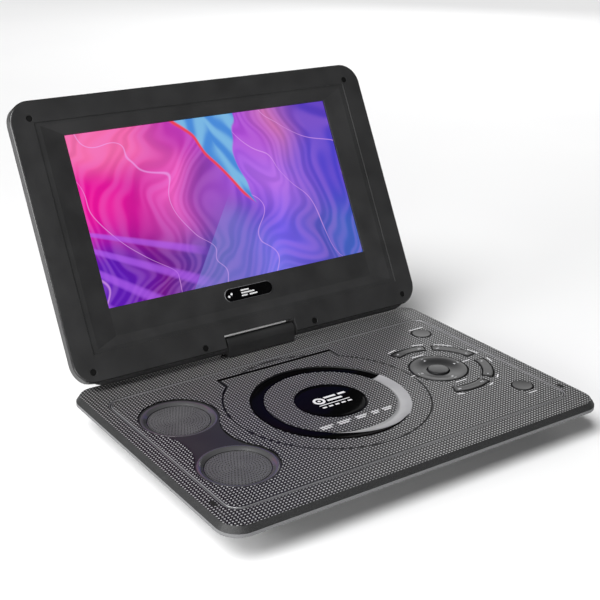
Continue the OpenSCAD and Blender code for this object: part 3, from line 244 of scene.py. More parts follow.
def raised(outline, low, high, soft=0.15):
    """A flat mark between two levels: its outline at the bottom, again just below the top,
    a little smaller at the top, and a fan to its middle at each end. The outline is seen
    from its middle in every direction."""
    outline = np.asarray(outline, float) * MM
    middle = outline.mean(axis=0)
    low, high = low * MM, high * MM
    rows = [(0.0, low), (1.0, low), (1.0, high - (high - low) * 0.4), (1 - soft, high), (0.0, high)]
    grid = np.stack([np.column_stack([middle + share * (outline - middle), np.full(len(outline), z)])
                     for share, z in rows])
    points = grid.reshape(-1, 3)
    return points, outward(points, grid_quads(*grid.shape[:2], round_columns=True))


def arc(radius, start, end, steps, at=(0.0, 0.0), level=0.0):
    """Points on an arc in degrees and the direction away from its centre at each."""
    t = np.radians(np.linspace(start, end, steps))
    away = np.column_stack([np.cos(t), np.sin(t), 0 * t])
    return np.array([at[0], at[1], level]) + radius * MM * away, away


def round_corners(half_w, half_d, radius, steps=14, middle=(0.0, 0.0), level=0.0):
    """Points round a rectangle with round corners, a quarter circle at each, from the front
    right corner anticlockwise, and the outward direction at each."""
    quarter = np.linspace(-90, 0, steps)[None, :] + 90 * np.arange(4)[:, None]
    t = np.radians(quarter)
    side_x = np.array([1, 1, -1, -1])[:, None] * (half_w - radius)
    side_y = np.array([-1, 1, 1, -1])[:, None] * (half_d - radius)
    x = middle[0] + (side_x + radius * np.cos(t)) * MM
    y = middle[1] + (side_y + radius * np.sin(t)) * MM
    away = np.stack([np.cos(t), np.sin(t), 0 * t], axis=-1).reshape(-1, 3)
    return np.stack([x, y, level + 0 * x], axis=-1).reshape(-1, 3), away


def smooth_step(x, low, high):
    """0 below low, 1 above high, and 3t^2 - 2t^3 between them."""
    t = np.clip((np.asarray(x, float) - low) / (high - low), 0, 1)
    return t * t * (3 - 2 * t)


def on_lid(points):
    """Points in the lid's own axes, which are across, up the face from the tilt axis and out
    of the face, turned by the opening angle about that axis and put where the lid stands."""
    c, s = math.cos(LID_ANGLE), math.sin(LID_ANGLE)
    turn = np.array([[1, 0, 0], [0, -c, s], [0, -s, -c]])
    return points @ turn + np.array(TILT_AT)


def piece(name, shape, finish, body, stands_for=(), smooth=True, uv=None, sharp=None):
    """Puts a shape into a mesh object with its finish, rides it on a CAD body and hides the CAD
    nodes it stands for. Edges sharper than the angle sharp, in degrees, stay sharp."""
    points, quads = shape
    if uv is None:
        points, quads, triangles = welded(points, quads)
    else:
        triangles = np.zeros((0, 3), int)
    corners = np.concatenate([quads.ravel(), triangles.ravel()]).astype(np.int32)
    starts = np.concatenate([4 * np.arange(len(quads)), 4 * len(quads) + 3 * np.arange(len(triangles))])
    mesh = bpy.data.meshes.new(name)
    mesh.vertices.add(len(points))
    mesh.vertices.foreach_set("co", points.astype(np.float32).ravel())
    mesh.loops.add(len(corners))
    mesh.loops.foreach_set("vertex_index", corners)
    mesh.polygons.add(len(starts))
    mesh.polygons.foreach_set("loop_start", starts.astype(np.int32))
    mesh.polygons.foreach_set("use_smooth", np.full(len(starts), smooth))
    if uv is not None:
        layer = mesh.uv_layers.new(name="picture")
        layer.uv.foreach_set("vector", uv[corners].astype(np.float32).ravel())
    mesh.update(calc_edges=True)
    if mesh.validate():
        raise RuntimeError(f"{name} has faces that are not right")
    if smooth and sharp:
        mesh.set_sharp_from_angle(angle=math.radians(sharp))
    mesh.materials.append(finish)
    made = bpy.data.objects.new(name, mesh)
    bpy.context.scene.collection.objects.link(made)
    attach(made, body)
    if stands_for:
        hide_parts(*stands_for)
    return made


# Finishes


class Recipe:
    """One finish: a Principled surface and short ways to add the nodes that feed it. Its index
    of refraction n comes from its shine: it reflects ((n - 1) / (n + 1)) squared, which is
    0.08 times the shine, of the light that meets it squarely."""

    def __init__(self, name, shine=0.5, **surface):
        self.material = bpy.data.materials.new(name)
        self.material.use_nodes = True
        self.tree = self.material.node_tree
        self.surface = self.tree.nodes["Principled BSDF"]
        places = self.node("ShaderNodeTexCoord")
        self.here, self.facing, self.sheet = (places.outputs[k] for k in ("Object", "Normal", "UV"))
        for socket, value in surface.items():
            self.feed(self.surface.inputs[socket.replace("_", " ")], value)
        root = math.sqrt(0.08 * shine)
        self.feed(self.surface.inputs["IOR"], (1 + root) / (1 - root))

    def node(self, kind, **settings):
        made = self.tree.nodes.new(kind)
        for key, value in settings.items():
            setattr(made, key, value)
        return made

    def feed(self, socket, value):
        """Links a socket to another node's output, or sets its own value."""
        if isinstance(value, bpy.types.NodeSocket):
            self.tree.links.new(value, socket)
        elif hasattr(value, "__len__") and len(value) == 3 and socket.type == "RGBA":
            socket.default_value = (*value, 1)
        else:
            socket.default_value = value

    def paint(self, colour):
        self.feed(self.surface.inputs["Base Color"], colour)

    def dull(self, roughness):
        self.feed(self.surface.inputs["Roughness"], roughness)

    def math(self, operation, *values):
        made = self.node("ShaderNodeMath", operation=operation)
        for socket, value in zip(made.inputs, values):
            self.feed(socket, value)
        return made.outputs[0]

    def vector(self, operation, *values):
        made = self.node("ShaderNodeVectorMath", operation=operation)
        for socket, value in zip(made.inputs, values):
            self.feed(socket, value)
        return made.outputs["Value" if operation in ("DOT_PRODUCT", "LENGTH", "DISTANCE") else "Vector"]

    def split(self, vector):
        made = self.node("ShaderNodeSeparateXYZ")
        self.feed(made.inputs[0], vector)
        return made.outputs

    def merge(self, x, y, z=0.0):
        made = self.node("ShaderNodeCombineXYZ")
        for socket, value in zip(made.inputs, (x, y, z)):
            self.feed(socket, value)
        return made.outputs[0]

    def noise(self, scale, detail=2.0, at=None, output="Fac", distortion=0.0):
        made = self.node("ShaderNodeTexNoise")
        self.feed(made.inputs["Vector"], self.here if at is None else at)
        for key, value in (("Scale", scale), ("Detail", detail), ("Distortion", distortion)):
            made.inputs[key].default_value = value
        return made.outputs[output]

    def mix(self, share, first, second, blend="MIX"):
        made = self.node("ShaderNodeMix", data_type="RGBA", blend_type=blend)
        self.feed(made.inputs[0], share)
        self.feed(made.inputs[6], first)
        self.feed(made.inputs[7], second)
        return made.outputs[2]

    def fade(self, value, low, high, to_low=0.0, to_high=1.0):
        """Carries value from low..high to to_low..to_high, smoothly and no further."""
        made = self.node("ShaderNodeMapRange", interpolation_type="SMOOTHSTEP")
        for socket, number in zip(made.inputs, (value, low, high, to_low, to_high)):
            self.feed(socket, number)
        return made.outputs[0]

    def ramp(self, value, *stops):
        """Colour by value through (place, colour) stops."""
        made = self.node("ShaderNodeValToRGB")
        elements = made.color_ramp.elements
        while len(elements) < len(stops):
            elements.new(0.5)
        for element, (place, colour) in zip(elements, stops):
            element.position = place
            element.color = (*colour, 1)
        self.feed(made.inputs[0], value)
        return made.outputs[0]

    def relief(self, height, depth, rounding=None):
        """Feeds the surface a bump of this height field, on top of softened edges."""
        bump = self.node("ShaderNodeBump")
        bump.inputs["Strength"].default_value = 1.0
        bump.inputs["Distance"].default_value = depth
        self.feed(bump.inputs["Height"], height)
        if rounding:
            self.feed(bump.inputs["Normal"], self.rounded(rounding))
        self.feed(self.surface.inputs["Normal"], bump.outputs["Normal"])

    def rounded(self, radius):
        soft = self.node("ShaderNodeBevel", samples=4)
        soft.inputs["Radius"].default_value = radius
        return soft.outputs["Normal"]


def shade(colour, by):
    return tuple(min(1.0, channel * by) for channel in colour)


def finish(name, build):
    """The finish of that name, built the first time it is asked for. Its label keeps it apart
    from the plain materials that the CAD nodes come with, some of which share its name."""
    label = "finish_" + name
    return bpy.data.materials.get(label) or build(label).material


def moulded(colour, roughness, grain=0.35 * MM, depth=0.012 * MM, rounding=None, uneven=0.18, shine=0.5):
    """Moulded plastic: a spark-eroded grain, patches a little lighter and rougher than the
    rest, and softened edges."""
    def build(name):
        r = Recipe(name, shine=shine)
        patch = r.noise(45.0, 3.0)
        fine = r.noise(1 / grain, 3.0)
        tone = r.math("ADD", patch, r.math("MULTIPLY", fine, 0.35))
        r.paint(r.mix(r.fade(tone, 0.4, 0.95), shade(colour, 1 - uneven),
                      shade(colour, 1 + uneven)))
        r.dull(r.fade(tone, 0.35, 0.95, roughness * 0.92, roughness * 1.1))
        r.relief(fine, depth, rounding)
        return r
    return build


def embossed_deck(name):
    """Deck and door: raised diamonds on a square grid, 0.7 cos(kx) + 0.7 cos(ky) +
    2 cos(kx) cos(ky), on the level tops, a smooth bevel below them, and a lighter smooth band
    under that. The diamonds stop short of the door's seam and of the groove, at a distance
    worked out from their outlines: a circle joined to a block, and a rounded rectangle. The
    plain band left there keeps the dark gap colour as painted shade, a dark line along the
    seam and the groove. Every wall and floor within the groove's outer edge, the groove's own
    and those of the key holes and the door seam, is painted near black as shade."""
    sizes, colours = bpy.context.scene.player_sizes, bpy.context.scene.player_colours
    r = Recipe(name, shine=0.25)
    x, y, z = r.split(r.here)
    k = TURN / sizes.weave
    wave_x, wave_y = (r.math("COSINE", r.math("MULTIPLY", at, k)) for at in (x, y))
    lattice = r.math("ADD", r.math("MULTIPLY", r.math("ADD", wave_x, wave_y), 0.7),
                     r.math("MULTIPLY", r.math("MULTIPLY", wave_x, wave_y), 2.0))

    plan = r.merge(x, y)
    circle = r.math("SUBTRACT", r.vector("DISTANCE", plan, (*DOOR_AT, 0)), DOOR_RADIUS)
    across = r.math("ABSOLUTE", r.math("SUBTRACT", x, DOOR_AT[0]))
    block = r.math("MAXIMUM", r.math("SUBTRACT", across, DOOR_TAB),
                   r.math("MAXIMUM", r.math("SUBTRACT", y, DOOR_BACK), r.math("SUBTRACT", DOOR_AT[1], y)))
    seam = r.math("ABSOLUTE", r.math("MINIMUM", circle, block))
    corner = GROOVE_CORNER * MM
    reach = [(half - GROOVE_CORNER) * MM for half in GROOVE_HALF]
    over = r.vector("MAXIMUM", r.vector("SUBTRACT", r.vector("ABSOLUTE", r.vector(
        "SUBTRACT", plan, (*GROOVE_MIDDLE, 0))), (*reach, 0)), (0, 0, 0))
    groove = r.math("SUBTRACT", r.vector("LENGTH", over), corner - GROOVE_WIDTH * MM / 2)
    # Painted shade: along the door seam and the groove the diamonds stop, and the plain band keeps the dark
    # gap colour as a dark line of shade.
    plain = r.math("MINIMUM", r.fade(seam, 0.65 * MM, 0.8 * MM),
                   r.fade(r.math("ABSOLUTE", groove), 1.5 * MM, 1.65 * MM))
    level = r.math("GREATER_THAN", r.split(r.facing)[2], 0.95)
    on_top = r.math("MULTIPLY", level, r.math("GREATER_THAN", z, DECK - 0.15 * MM))
    diamond = r.math("MULTIPLY", r.math("MULTIPLY", r.fade(lattice, 0.0, 1.5), on_top), plain)
    patch = r.noise(24.0, 2.0)
    fine = r.noise(2600.0, 2.0)
    gaps = r.mix(patch, shade(colours.deck_dark, 0.8), shade(colours.deck_dark, 1.3))
    crowns = r.mix(patch, shade(colours.deck_light, 0.85), shade(colours.deck_light, 1.1))
    weave = r.mix(diamond, gaps, crowns)
    sides = r.mix(r.math("LESS_THAN", z, DECK - 3.9 * MM), shade(colours.shell, 1.2), colours.band)
    sides = r.mix(r.fade(fine, 0.3, 0.8, 0.0, 0.2), sides, shade(colours.band, 1.3))
    # Painted shade: every wall and floor within the groove's outer edge, the groove's own and those of the
    # key holes and the door seam, is painted near black for the shade in these recesses.
    recess_shade_area = r.math("LESS_THAN", groove, (GROOVE_WIDTH / 2 + 0.1) * MM)
    sides = r.mix(recess_shade_area, sides, shade(colours.deck_dark, 0.5))
    r.paint(r.mix(on_top, sides, weave))
    r.dull(r.math("ADD", r.fade(diamond, 0.0, 1.0, 0.42, 0.38),
                  r.math("MULTIPLY", fine, 0.06)))
    r.relief(r.math("ADD", diamond, r.math("MULTIPLY", fine, 0.08)), 0.12 * MM, sizes.edge)
    return r


def gloss(shine):
    """Polished black plastic with faint rubbed patches in its shine."""
    def build(name):
        r = Recipe(name, shine=shine)
        colour = bpy.context.scene.player_colours.gloss
        rubbed = r.noise(160.0, 4.0, distortion=1.5)
        r.paint(r.mix(rubbed, shade(colour, 0.7), shade(colour, 1.6)))
        r.dull(r.fade(rubbed, 0.35, 0.8, 0.07, 0.16))
        r.relief(r.noise(90.0, 1.0), 0.01 * MM, bpy.context.scene.player_sizes.edge)
        return r
    return build


def printed(name):
    """Matt white ink with small thin spots."""
    r = Recipe(name, shine=0.3)
    colour = bpy.context.scene.player_colours.ink
    spots = r.noise(1800.0, 2.0)
    r.paint(r.mix(r.fade(spots, 0.3, 0.6), shade(colour, 0.8), colour))
    r.dull(r.fade(spots, 0.3, 0.7, 0.5, 0.65))
    return r


def metal(colour, roughness, stretch=(1, 30, 30), scale=220.0, depth=0.01 * MM):
    """Drawn or rolled metal: fine lines along X, in its tone and its shine."""
    def build(name):
        r = Recipe(name, Metallic=1.0)
        lines = r.noise(scale, 3.0, at=r.vector("MULTIPLY", r.here, stretch))
        spots = r.noise(90.0, 2.0)
        r.paint(r.mix(lines, shade(colour, 0.8), shade(colour, 1.1)))
        r.dull(r.math("ADD", r.fade(lines, 0.3, 0.8, roughness * 0.8,
                                   roughness * 1.3),
                      r.math("MULTIPLY", spots, 0.08)))
        r.relief(lines, depth, 0.2 * MM)
        return r
    return build


def threaded_brass(name):
    """Brass screw: ridges across X every 1 mm, as a sine."""
    r = Recipe(name, Metallic=1.0)
    x = r.split(r.here)[0]
    ridges = r.math("SINE", r.math("MULTIPLY", x, TURN / (1.0 * MM)))
    worn = r.noise(300.0, 3.0)
    tone = r.mix(r.fade(ridges, -1, 1), (0.35, 0.22, 0.06), (0.75, 0.52, 0.2))
    r.paint(tone)
    r.dull(r.fade(worn, 0.3, 0.8, 0.2, 0.4))
    r.relief(ridges, 0.2 * MM)
    return r


def rubber(name):
    """Soft black rubber, dull and finely pitted."""
    r = Recipe(name, shine=0.3)
    pits = r.noise(1500.0, 4.0)
    dust = r.noise(120.0, 3.0)
    r.paint(r.mix(r.fade(dust, 0.45, 0.8), (0.008, 0.008, 0.008),
                  (0.028, 0.027, 0.026)))
    r.dull(r.fade(pits, 0.3, 0.7, 0.7, 0.9))
    r.relief(pits, 0.03 * MM, 0.2 * MM)
    return r


def circuit_board(name):
    """Green board: bright tracks on a square grid of cells, pads at some crossings."""
    r = Recipe(name, shine=0.5)
    cells = r.node("ShaderNodeTexVoronoi", distance="CHEBYCHEV", feature="DISTANCE_TO_EDGE")
    r.feed(cells.inputs["Vector"], r.here)
    cells.inputs["Scale"].default_value = 330.0
    pads = r.node("ShaderNodeTexVoronoi", feature="F1")
    r.feed(pads.inputs["Vector"], r.here)
    pads.inputs["Scale"].default_value = 240.0
    track = r.math("LESS_THAN", cells.outputs["Distance"], 0.06)
    pad = r.math("LESS_THAN", pads.outputs["Distance"], 0.18)
    mask = r.mix(track, (0.004, 0.05, 0.018), (0.01, 0.12, 0.045))
    r.paint(r.mix(pad, mask, (0.55, 0.5, 0.42)))
    r.dull(r.fade(r.noise(700.0), 0.3, 0.7, 0.25, 0.4))
    r.relief(track, 0.03 * MM)
    return r


def wrapped(name):
    """Blue shrink wrap, drawn tight, with long creases."""
    r = Recipe(name, shine=0.5, Coat_Weight=0.4)
    creases = r.noise(60.0, 4.0, at=r.vector("MULTIPLY", r.here, (1, 0.12, 1)), distortion=0.6)
    r.paint(r.mix(creases, (0.015, 0.05, 0.2), (0.03, 0.1, 0.34)))
    r.dull(r.fade(creases, 0.3, 0.7, 0.22, 0.4))
    r.relief(creases, 0.15 * MM)
    return r


def cone_paper(name):
    """Pressed loudspeaker paper: ridges round each speaker's middle and a fibre grain."""
    r = Recipe(name, shine=0.3)
    fibres = r.noise(900.0, 4.0, distortion=2.0)
    rings = 0.0
    for low, high in GRILLE_BOXES.values():
        away = r.vector("SUBTRACT", r.here, (*middle_of(low, high), 0))
        flat = r.vector("MULTIPLY", away, (1, 1, 0))
        near = r.math("LESS_THAN", r.vector("LENGTH", flat), 25 * MM)
        wave = r.math("SINE", r.math("MULTIPLY", r.vector("LENGTH", flat), TURN / (1.6 * MM)))
        rings = r.math("ADD", rings, r.math("MULTIPLY", wave, near))
    r.paint(r.mix(fibres, (0.006, 0.006, 0.006), (0.02, 0.02, 0.019)))
    r.dull(r.fade(fibres, 0.2, 0.8, 0.75, 0.95))
    r.relief(r.math("ADD", rings, fibres), 0.1 * MM)
    return r


def lens_glass(name):
    """Coated pickup lens: deep blue with violet clouds, and a thin haze in its shine."""
    r = Recipe(name, shine=0.8, Coat_Weight=1.0, Coat_Roughness=0.03)
    haze = r.noise(800.0)
    r.paint(r.mix(haze, (0.02, 0.05, 0.16), (0.2, 0.05, 0.35)))
    r.dull(r.fade(haze, 0.3, 0.7, 0.04, 0.1))
    return r


def glowing_picture(name):
    """The lit screen: an abstract of flowing folds. The sheet's own map is bent twice by
    noise, which gives the flow. A colour runs from warm at the left to blue at the right,
    darker towards the bottom, and thin light lines follow the flow. A pale blue tongue
    hangs from the top, rays cross the lower left, and one pane of it is paler."""
    r = Recipe(name, Base_Color=(0.0, 0.0, 0.0), shine=0.5, Coat_Weight=0.3, Coat_Roughness=0.06)
    u, v, _ = r.split(r.sheet)
    wide = r.merge(r.math("MULTIPLY", u, 1.78), v)
    bend = r.vector("SUBTRACT", r.noise(1.5, 1.0, at=wide, output="Color"), (0.5, 0.5, 0.5))
    once = r.vector("ADD", wide, r.vector("MULTIPLY", bend, (0.9, 0.9, 0)))
    bend = r.vector("SUBTRACT", r.noise(2.2, 1.0, at=once, output="Color"), (0.5, 0.5, 0.5))
    twice = r.vector("ADD", once, r.vector("MULTIPLY", bend, (0.55, 0.35, 0)))
    flow_x, flow_y, _ = r.split(twice)
    slant = r.math("ADD", flow_x, r.math("MULTIPLY", flow_y, -0.35))

    along = r.math("ADD", u, r.math("MULTIPLY", r.split(r.vector("SUBTRACT", twice, wide))[0], 0.3))
    upward = r.math("ADD", v, r.math("MULTIPLY", r.split(r.vector("SUBTRACT", twice, wide))[1], 0.55))
    high = r.ramp(along, (0.06, (0.95, 0.16, 0.42)), (0.2, (0.93, 0.14, 0.42)), (0.33, (0.57, 0.04, 0.44)),
                  (0.52, (0.42, 0.06, 0.75)), (0.68, (0.42, 0.08, 0.64)), (0.8, (0.62, 0.17, 0.46)),
                  (0.94, (0.10, 0.05, 0.53)))
    middle = r.ramp(along, (0.05, (0.80, 0.005, 0.36)), (0.18, (0.62, 0.01, 0.33)),
                    (0.31, (0.90, 0.12, 0.55)), (0.44, (0.30, 0.05, 0.42)),
                    (0.56, (0.30, 0.08, 0.75)), (0.69, (0.46, 0.16, 0.82)),
                    (0.81, (0.24, 0.11, 0.68)), (0.94, (0.06, 0.05, 0.58)))
    low = r.ramp(along, (0.04, (0.12, 0.01, 0.48)), (0.18, (0.17, 0.005, 0.26)), (0.31, (0.12, 0.04, 0.36)),
                 (0.44, (0.12, 0.07, 0.42)), (0.56, (0.11, 0.05, 0.52)), (0.69, (0.18, 0.12, 0.85)),
                 (0.81, (0.10, 0.09, 0.52)), (0.94, (0.06, 0.13, 0.56)))
    picture = r.mix(r.fade(upward, 0.25, 0.55), low, middle)
    picture = r.mix(r.fade(upward, 0.62, 0.88), picture, high)
    hot = r.math("MULTIPLY", r.fade(u, 0.30, 0.05), r.fade(r.math("ABSOLUTE", r.math("SUBTRACT", v, 0.6)),
                                                          0.3, 0.0))
    picture = r.mix(r.math("MULTIPLY", hot, 0.6), picture, (0.95, 0.006, 0.33))

    bands = r.math("ADD", r.math("SINE", r.math("MULTIPLY", slant, 31.0)),
                   r.math("SINE", r.math("MULTIPLY", slant, 83.0)))
    picture = r.mix(r.fade(bands, -1.2, 2.0, 0.0, 0.3), picture, r.mix(0.5, picture, (0.75, 0.3, 0.9)))
    picture = r.mix(r.fade(bands, 0.6, -2.0, 0.0, 0.24), picture, r.mix(0.6, picture, (0.02, 0.01, 0.12)))
    thread = r.math("ABSOLUTE", r.math("SINE", r.math("MULTIPLY", r.math("ADD", slant, flow_y), 7.5)))
    picture = r.mix(r.fade(thread, 0.055, 0.0, 0.0, 0.55), picture, (0.85, 0.42, 0.95))

    lean = r.math("ADD", u, r.math("MULTIPLY", r.math("SUBTRACT", 1.0, v), -0.2))
    lean = r.math("ADD", lean, r.math("MULTIPLY", r.split(bend)[0], 0.12))
    half = r.math("MULTIPLY", r.math("SUBTRACT", v, 0.44), 0.19)
    off = r.math("SUBTRACT", r.math("ABSOLUTE", r.math("SUBTRACT", lean, 0.5)), half)
    ripple = r.math("SINE", r.math("MULTIPLY", r.math("ADD", off, r.math("MULTIPLY", flow_y, 0.4)), 70.0))
    tongue = r.mix(r.fade(ripple, -1, 1), (0.07, 0.26, 0.70), (0.20, 0.48, 0.78))
    picture = r.mix(r.fade(off, 0.004, -0.004), picture, tongue)
    edge = r.math("MULTIPLY", r.fade(r.math("ABSOLUTE", off), 0.012, 0.002),
                  r.math("MULTIPLY", r.fade(lean, 0.5, 0.495), r.fade(v, 0.42, 0.5)))
    picture = r.mix(edge, picture, (0.85, 0.06, 0.10))

    angle = r.math("ARCTAN2", r.math("SUBTRACT", v, 0.62), r.math("ADD", u, 0.35))
    rays = r.math("SINE", r.math("MULTIPLY", angle, 34.0))
    low_left = r.math("MULTIPLY", r.fade(angle, -0.42, -0.5), r.fade(u, 0.42, 0.3))
    streaks = r.math("MULTIPLY", r.fade(rays, 0.2, 1.0, 0.0, 0.6), low_left)
    picture = r.mix(streaks, picture, (0.45, 0.12, 0.9))

    side = r.math("ADD", r.math("MULTIPLY", v, -0.42), r.math("SUBTRACT", u, 0.31))
    other = r.math("ADD", r.math("MULTIPLY", v, 0.3), r.math("SUBTRACT", u, 0.66))
    pane = r.math("MULTIPLY", r.fade(side, -0.001, 0.001), r.fade(other, 0.12, -0.05))
    pane = r.math("MULTIPLY", pane, r.fade(v, 0.55, 0.35))
    picture = r.mix(r.math("MULTIPLY", pane, 0.28), picture, (0.25, 0.35, 0.85))

    r.feed(r.surface.inputs["Emission Color"], picture)
    r.surface.inputs["Emission Strength"].default_value = 1.0
    r.dull(r.fade(r.noise(200.0), 0.3, 0.7, 0.16, 0.22))
    return r


def grey_paint(colour, roughness, rounding=0.25 * MM, shine=0.5):
    """Smooth satin surface with a slow change of tone and a very fine grain."""
    return moulded(colour, roughness, 0.25 * MM, 0.006 * MM, rounding, 0.1, shine)


PLATED_STEEL = metal((0.55, 0.56, 0.58), 0.32)
SOCKET_PLASTIC = moulded((0.012, 0.012, 0.012), 0.4, rounding=0.15 * MM)


def coat(material, *nodes):
    """Gives CAD nodes their finish."""
    for node in nodes:
        mesh = frame["nodes"][node].data
        if not mesh.materials:
            mesh.materials.append(material)
        for number in range(len(mesh.materials)):
            mesh.materials[number] = material


def shifted(shape, by):
    return shape[0] + np.asarray(by, float), shape[1]


def arc_bars(*bars):
    """Bars printed along arcs, as one shape. Each is (middle, radius, start and end angles
    in degrees, width)."""
    thick = bpy.context.scene.player_sizes.ink / MM
    shapes = []
    for at, radius, start, end, width in bars:
        path, away = arc(radius, start, end, 9, at=at, level=DECK)
        shapes.append(carried([(-width / 2, 0), (width / 2, 0), (width / 2, thick), (-width / 2, thick)],
                              path, away, closed=False))
    return shapes


BOX_OUTLINE = np.array([(-0.5, -0.5), (0.5, -0.5), (0.5, 0.5), (-0.5, 0.5)])


def flat_bars(*bars, level=None):
    """Straight printed bars along X. Each is (x, y, length, width) in millimetres."""
    thick = bpy.context.scene.player_sizes.ink / MM
    level = DECK if level is None else level
    return [shifted(raised(BOX_OUTLINE * (length, width) + (x, y), -0.02, thick, 0.02), (0, 0, level))
            for x, y, length, width in bars]


# The operators


class BuildOperator:
    """What every build operator shares: it does its work and reports its name."""

    bl_options = {"REGISTER", "UNDO"}

    def execute(self, context):
        self.build(context.scene.player_sizes, context.scene.player_colours)
        return {"FINISHED"}


GROOVE_HALF = (137.4, 82.5)
GROOVE_CORNER = 11.0
GROOVE_WIDTH = 1.6
GROOVE_DEPTH = 0.8
BEAD_RISE = 0.1
BEAD_REACH = 0.3
DOOR_AT = (-7 * MM, 0.5 * MM)
DOOR_RADIUS = 71.3 * MM
DOOR_TAB = 48.3 * MM
DOOR_BACK = 65.8 * MM
GROOVE_MIDDLE = (0.0, -5.5 * MM)


class PLAYER_OT_deck(BuildOperator, bpy.types.Operator):
    """Embossed deck with a rounded bead along each side of its groove, painted lighter as a highlight line"""

    bl_idname = "player.deck"
    bl_label = "Deck"

    def build(self, sizes, colours):
        deck = finish("embossed_deck", embossed_deck)
        coat(deck, "base_top_case", "disc_door")
        # Painted highlight: the rounded bead is real, but it is coloured five times lighter than the satin so
        # that it reads as a bright line of light along the groove's edges.
        satin = finish("bead_painted_highlight", grey_paint(shade(colours.satin, 5.0), 0.22, rounding=None, shine=0.9))
        wide = sizes.bead / MM
        quarter = np.radians(np.linspace(0, 90, 8))
        bow = np.column_stack([np.sin(quarter), np.cos(quarter) - 1]) * (wide, GROOVE_DEPTH)
        roll = [(-BEAD_REACH, -0.05), (-BEAD_REACH, 0.02), (-0.6 * BEAD_REACH, 0.8 * BEAD_RISE)]
        inner = np.concatenate([roll, bow + (0, BEAD_RISE), [(0, -GROOVE_DEPTH)]])
        outer = inner * (-1, 1)
        rings = []
        for profile, inset in ((inner, GROOVE_WIDTH), (outer, 0.0)):
            path, away = round_corners(GROOVE_HALF[0] - inset, GROOVE_HALF[1] - inset,
                                       GROOVE_CORNER - inset, middle=GROOVE_MIDDLE, level=DECK)
            rings.append(carried(profile, path, away, closed=True))
        piece("groove_beads", joined(rings), satin, "base", sharp=50)


SPEAKER_SINK = 0.8
GRILLE_RADIUS = 20.9


def grille_ring(number, pitch, hole, top, thick):
    """One ring of a grille as a closed band. Each of its cells is a piece of the band with a
    round hole: eight places on the cell's edge, eight on the hole's, at two levels."""
    cells = max(6 * number, 1)
    eight = np.array([(1, 0), (1, 1), (0, 1), (-1, 1), (-1, 0), (-1, -1), (0, -1), (1, -1)], float)
    middle = (np.arange(cells) * TURN / cells)[:, None]
    if number:
        r = (number * pitch + eight[:, 0] * pitch / 2)[None, :] + 0 * middle
        t = middle + eight[None, :, 1] * math.pi / cells
    else:
        r = np.full((1, 8), pitch / 2)
        t = np.radians(45.0 * np.arange(8))[None, :]
    rim = np.stack([r * np.cos(t), r * np.sin(t)], axis=-1)
    spin = np.radians(45.0 * np.arange(8))
    centre = number * pitch * np.concatenate([np.cos(middle), np.sin(middle)], axis=1)
    turn = spin[None, :] + middle
    edge = centre[:, None] + hole * np.stack([np.cos(turn), np.sin(turn)], axis=-1)
    layers = [np.concatenate([flat, np.full((cells, 8, 1), z)], axis=2)
              for z in (top, top - thick) for flat in (rim, edge)]
    points = (np.stack(layers, axis=1) * MM).reshape(-1, 3)
    k = np.arange(8)
    n = (k + 1) % 8
    top_rim, top_edge, low_rim, low_edge = (np.stack([k + 8 * s, n + 8 * s]) for s in range(4))

    def band(a, b):
        return np.stack([a[0], a[1], b[1], b[0]], axis=1)

    quads = [band(top_rim, top_edge), band(low_edge, low_rim), band(top_edge, low_edge)]
    walls = band(low_rim, top_rim)
    quads.append(walls[[0, 3, 4, 7]] if number else walls)
    quads = np.concatenate(quads)
    quads = (quads[None] + 32 * np.arange(cells)[:, None, None]).reshape(-1, 4)
    return points, quads[:, ::-1]


class PLAYER_OT_speakers(BuildOperator, bpy.types.Operator):
    """Speaker trim, its dished rims, the perforated grilles and what is under them"""

    bl_idname = "player.speakers"
    bl_label = "Speakers"

    def build(self, sizes, colours):
        satin = finish("satin_trim", grey_paint(shade(colours.satin, 0.8), 0.3, rounding=0.7 * MM,
                                                shine=0.12))
        # Painted highlight: the dish rims are of the trim's satin but coloured two and a half times lighter,
        # a painted sheen on their slopes.
        rims = finish("rim_painted_highlight", grey_paint(shade(colours.satin, 2.0), 0.2, rounding=None, shine=0.9))
        dark = finish("grille_black", moulded((0.09, 0.09, 0.092), 0.4, rounding=None, shine=0.2))
        coat(satin, "speaker_trim")
        top = -SPEAKER_SINK
        for side, (low, high) in GRILLE_BOXES.items():
            at = middle_of(low, high)
            t = np.linspace(0, 1, 9)
            rise = 1.62 * np.sin(t * math.pi / 2) ** 1.2 + 0.1 * t
            slope = np.column_stack([21.05 + 3.5 * t, top - 1.6 + rise])
            lip = [(24.9, top + 0.13), (25.3, top + 0.07), (25.6, top - 0.02), (24.4, top - 0.3)]
            foot = [(21.05, top - 1.7)]
            rim = np.concatenate([slope, lip, foot, slope[:1]])
            piece(f"speaker_rim_{side}", turned(rim, 128, at, DECK), rims, "base")
            pitch = (GRILLE_RADIUS - 0.3) / (sizes.hole_rings + 0.5)
            rings = [grille_ring(n, pitch, sizes.hole / MM, 0.0, 0.5) for n in range(sizes.hole_rings + 1)]
            shape = shifted(joined(rings), (*at, high.z))
            piece(f"speaker_mesh_{side}", shape, dark, "base",
                  stands_for=[f"speaker_grille_{side}"], smooth=False)
        basket = finish("plated_steel", PLATED_STEEL)
        coat(basket, "speaker_driver_rear", "speaker_driver_front")
        coat(finish("cone_paper", cone_paper), "speaker_cones")


RING_IN, RING_OUT = 45.5, 54.0
RING_START, RING_END = 15.0, 300.0
TAPER_START = 225.0
SCOOP_OUT = 55.28
SCOOP_END = 375.0


def ring_inner(angle):
    """Inner radius of the gloss ring, which narrows to nothing along its last part."""
    return RING_IN + (RING_OUT - 0.05 - RING_IN) * smooth_step(angle, TAPER_START, RING_END) ** 1.3


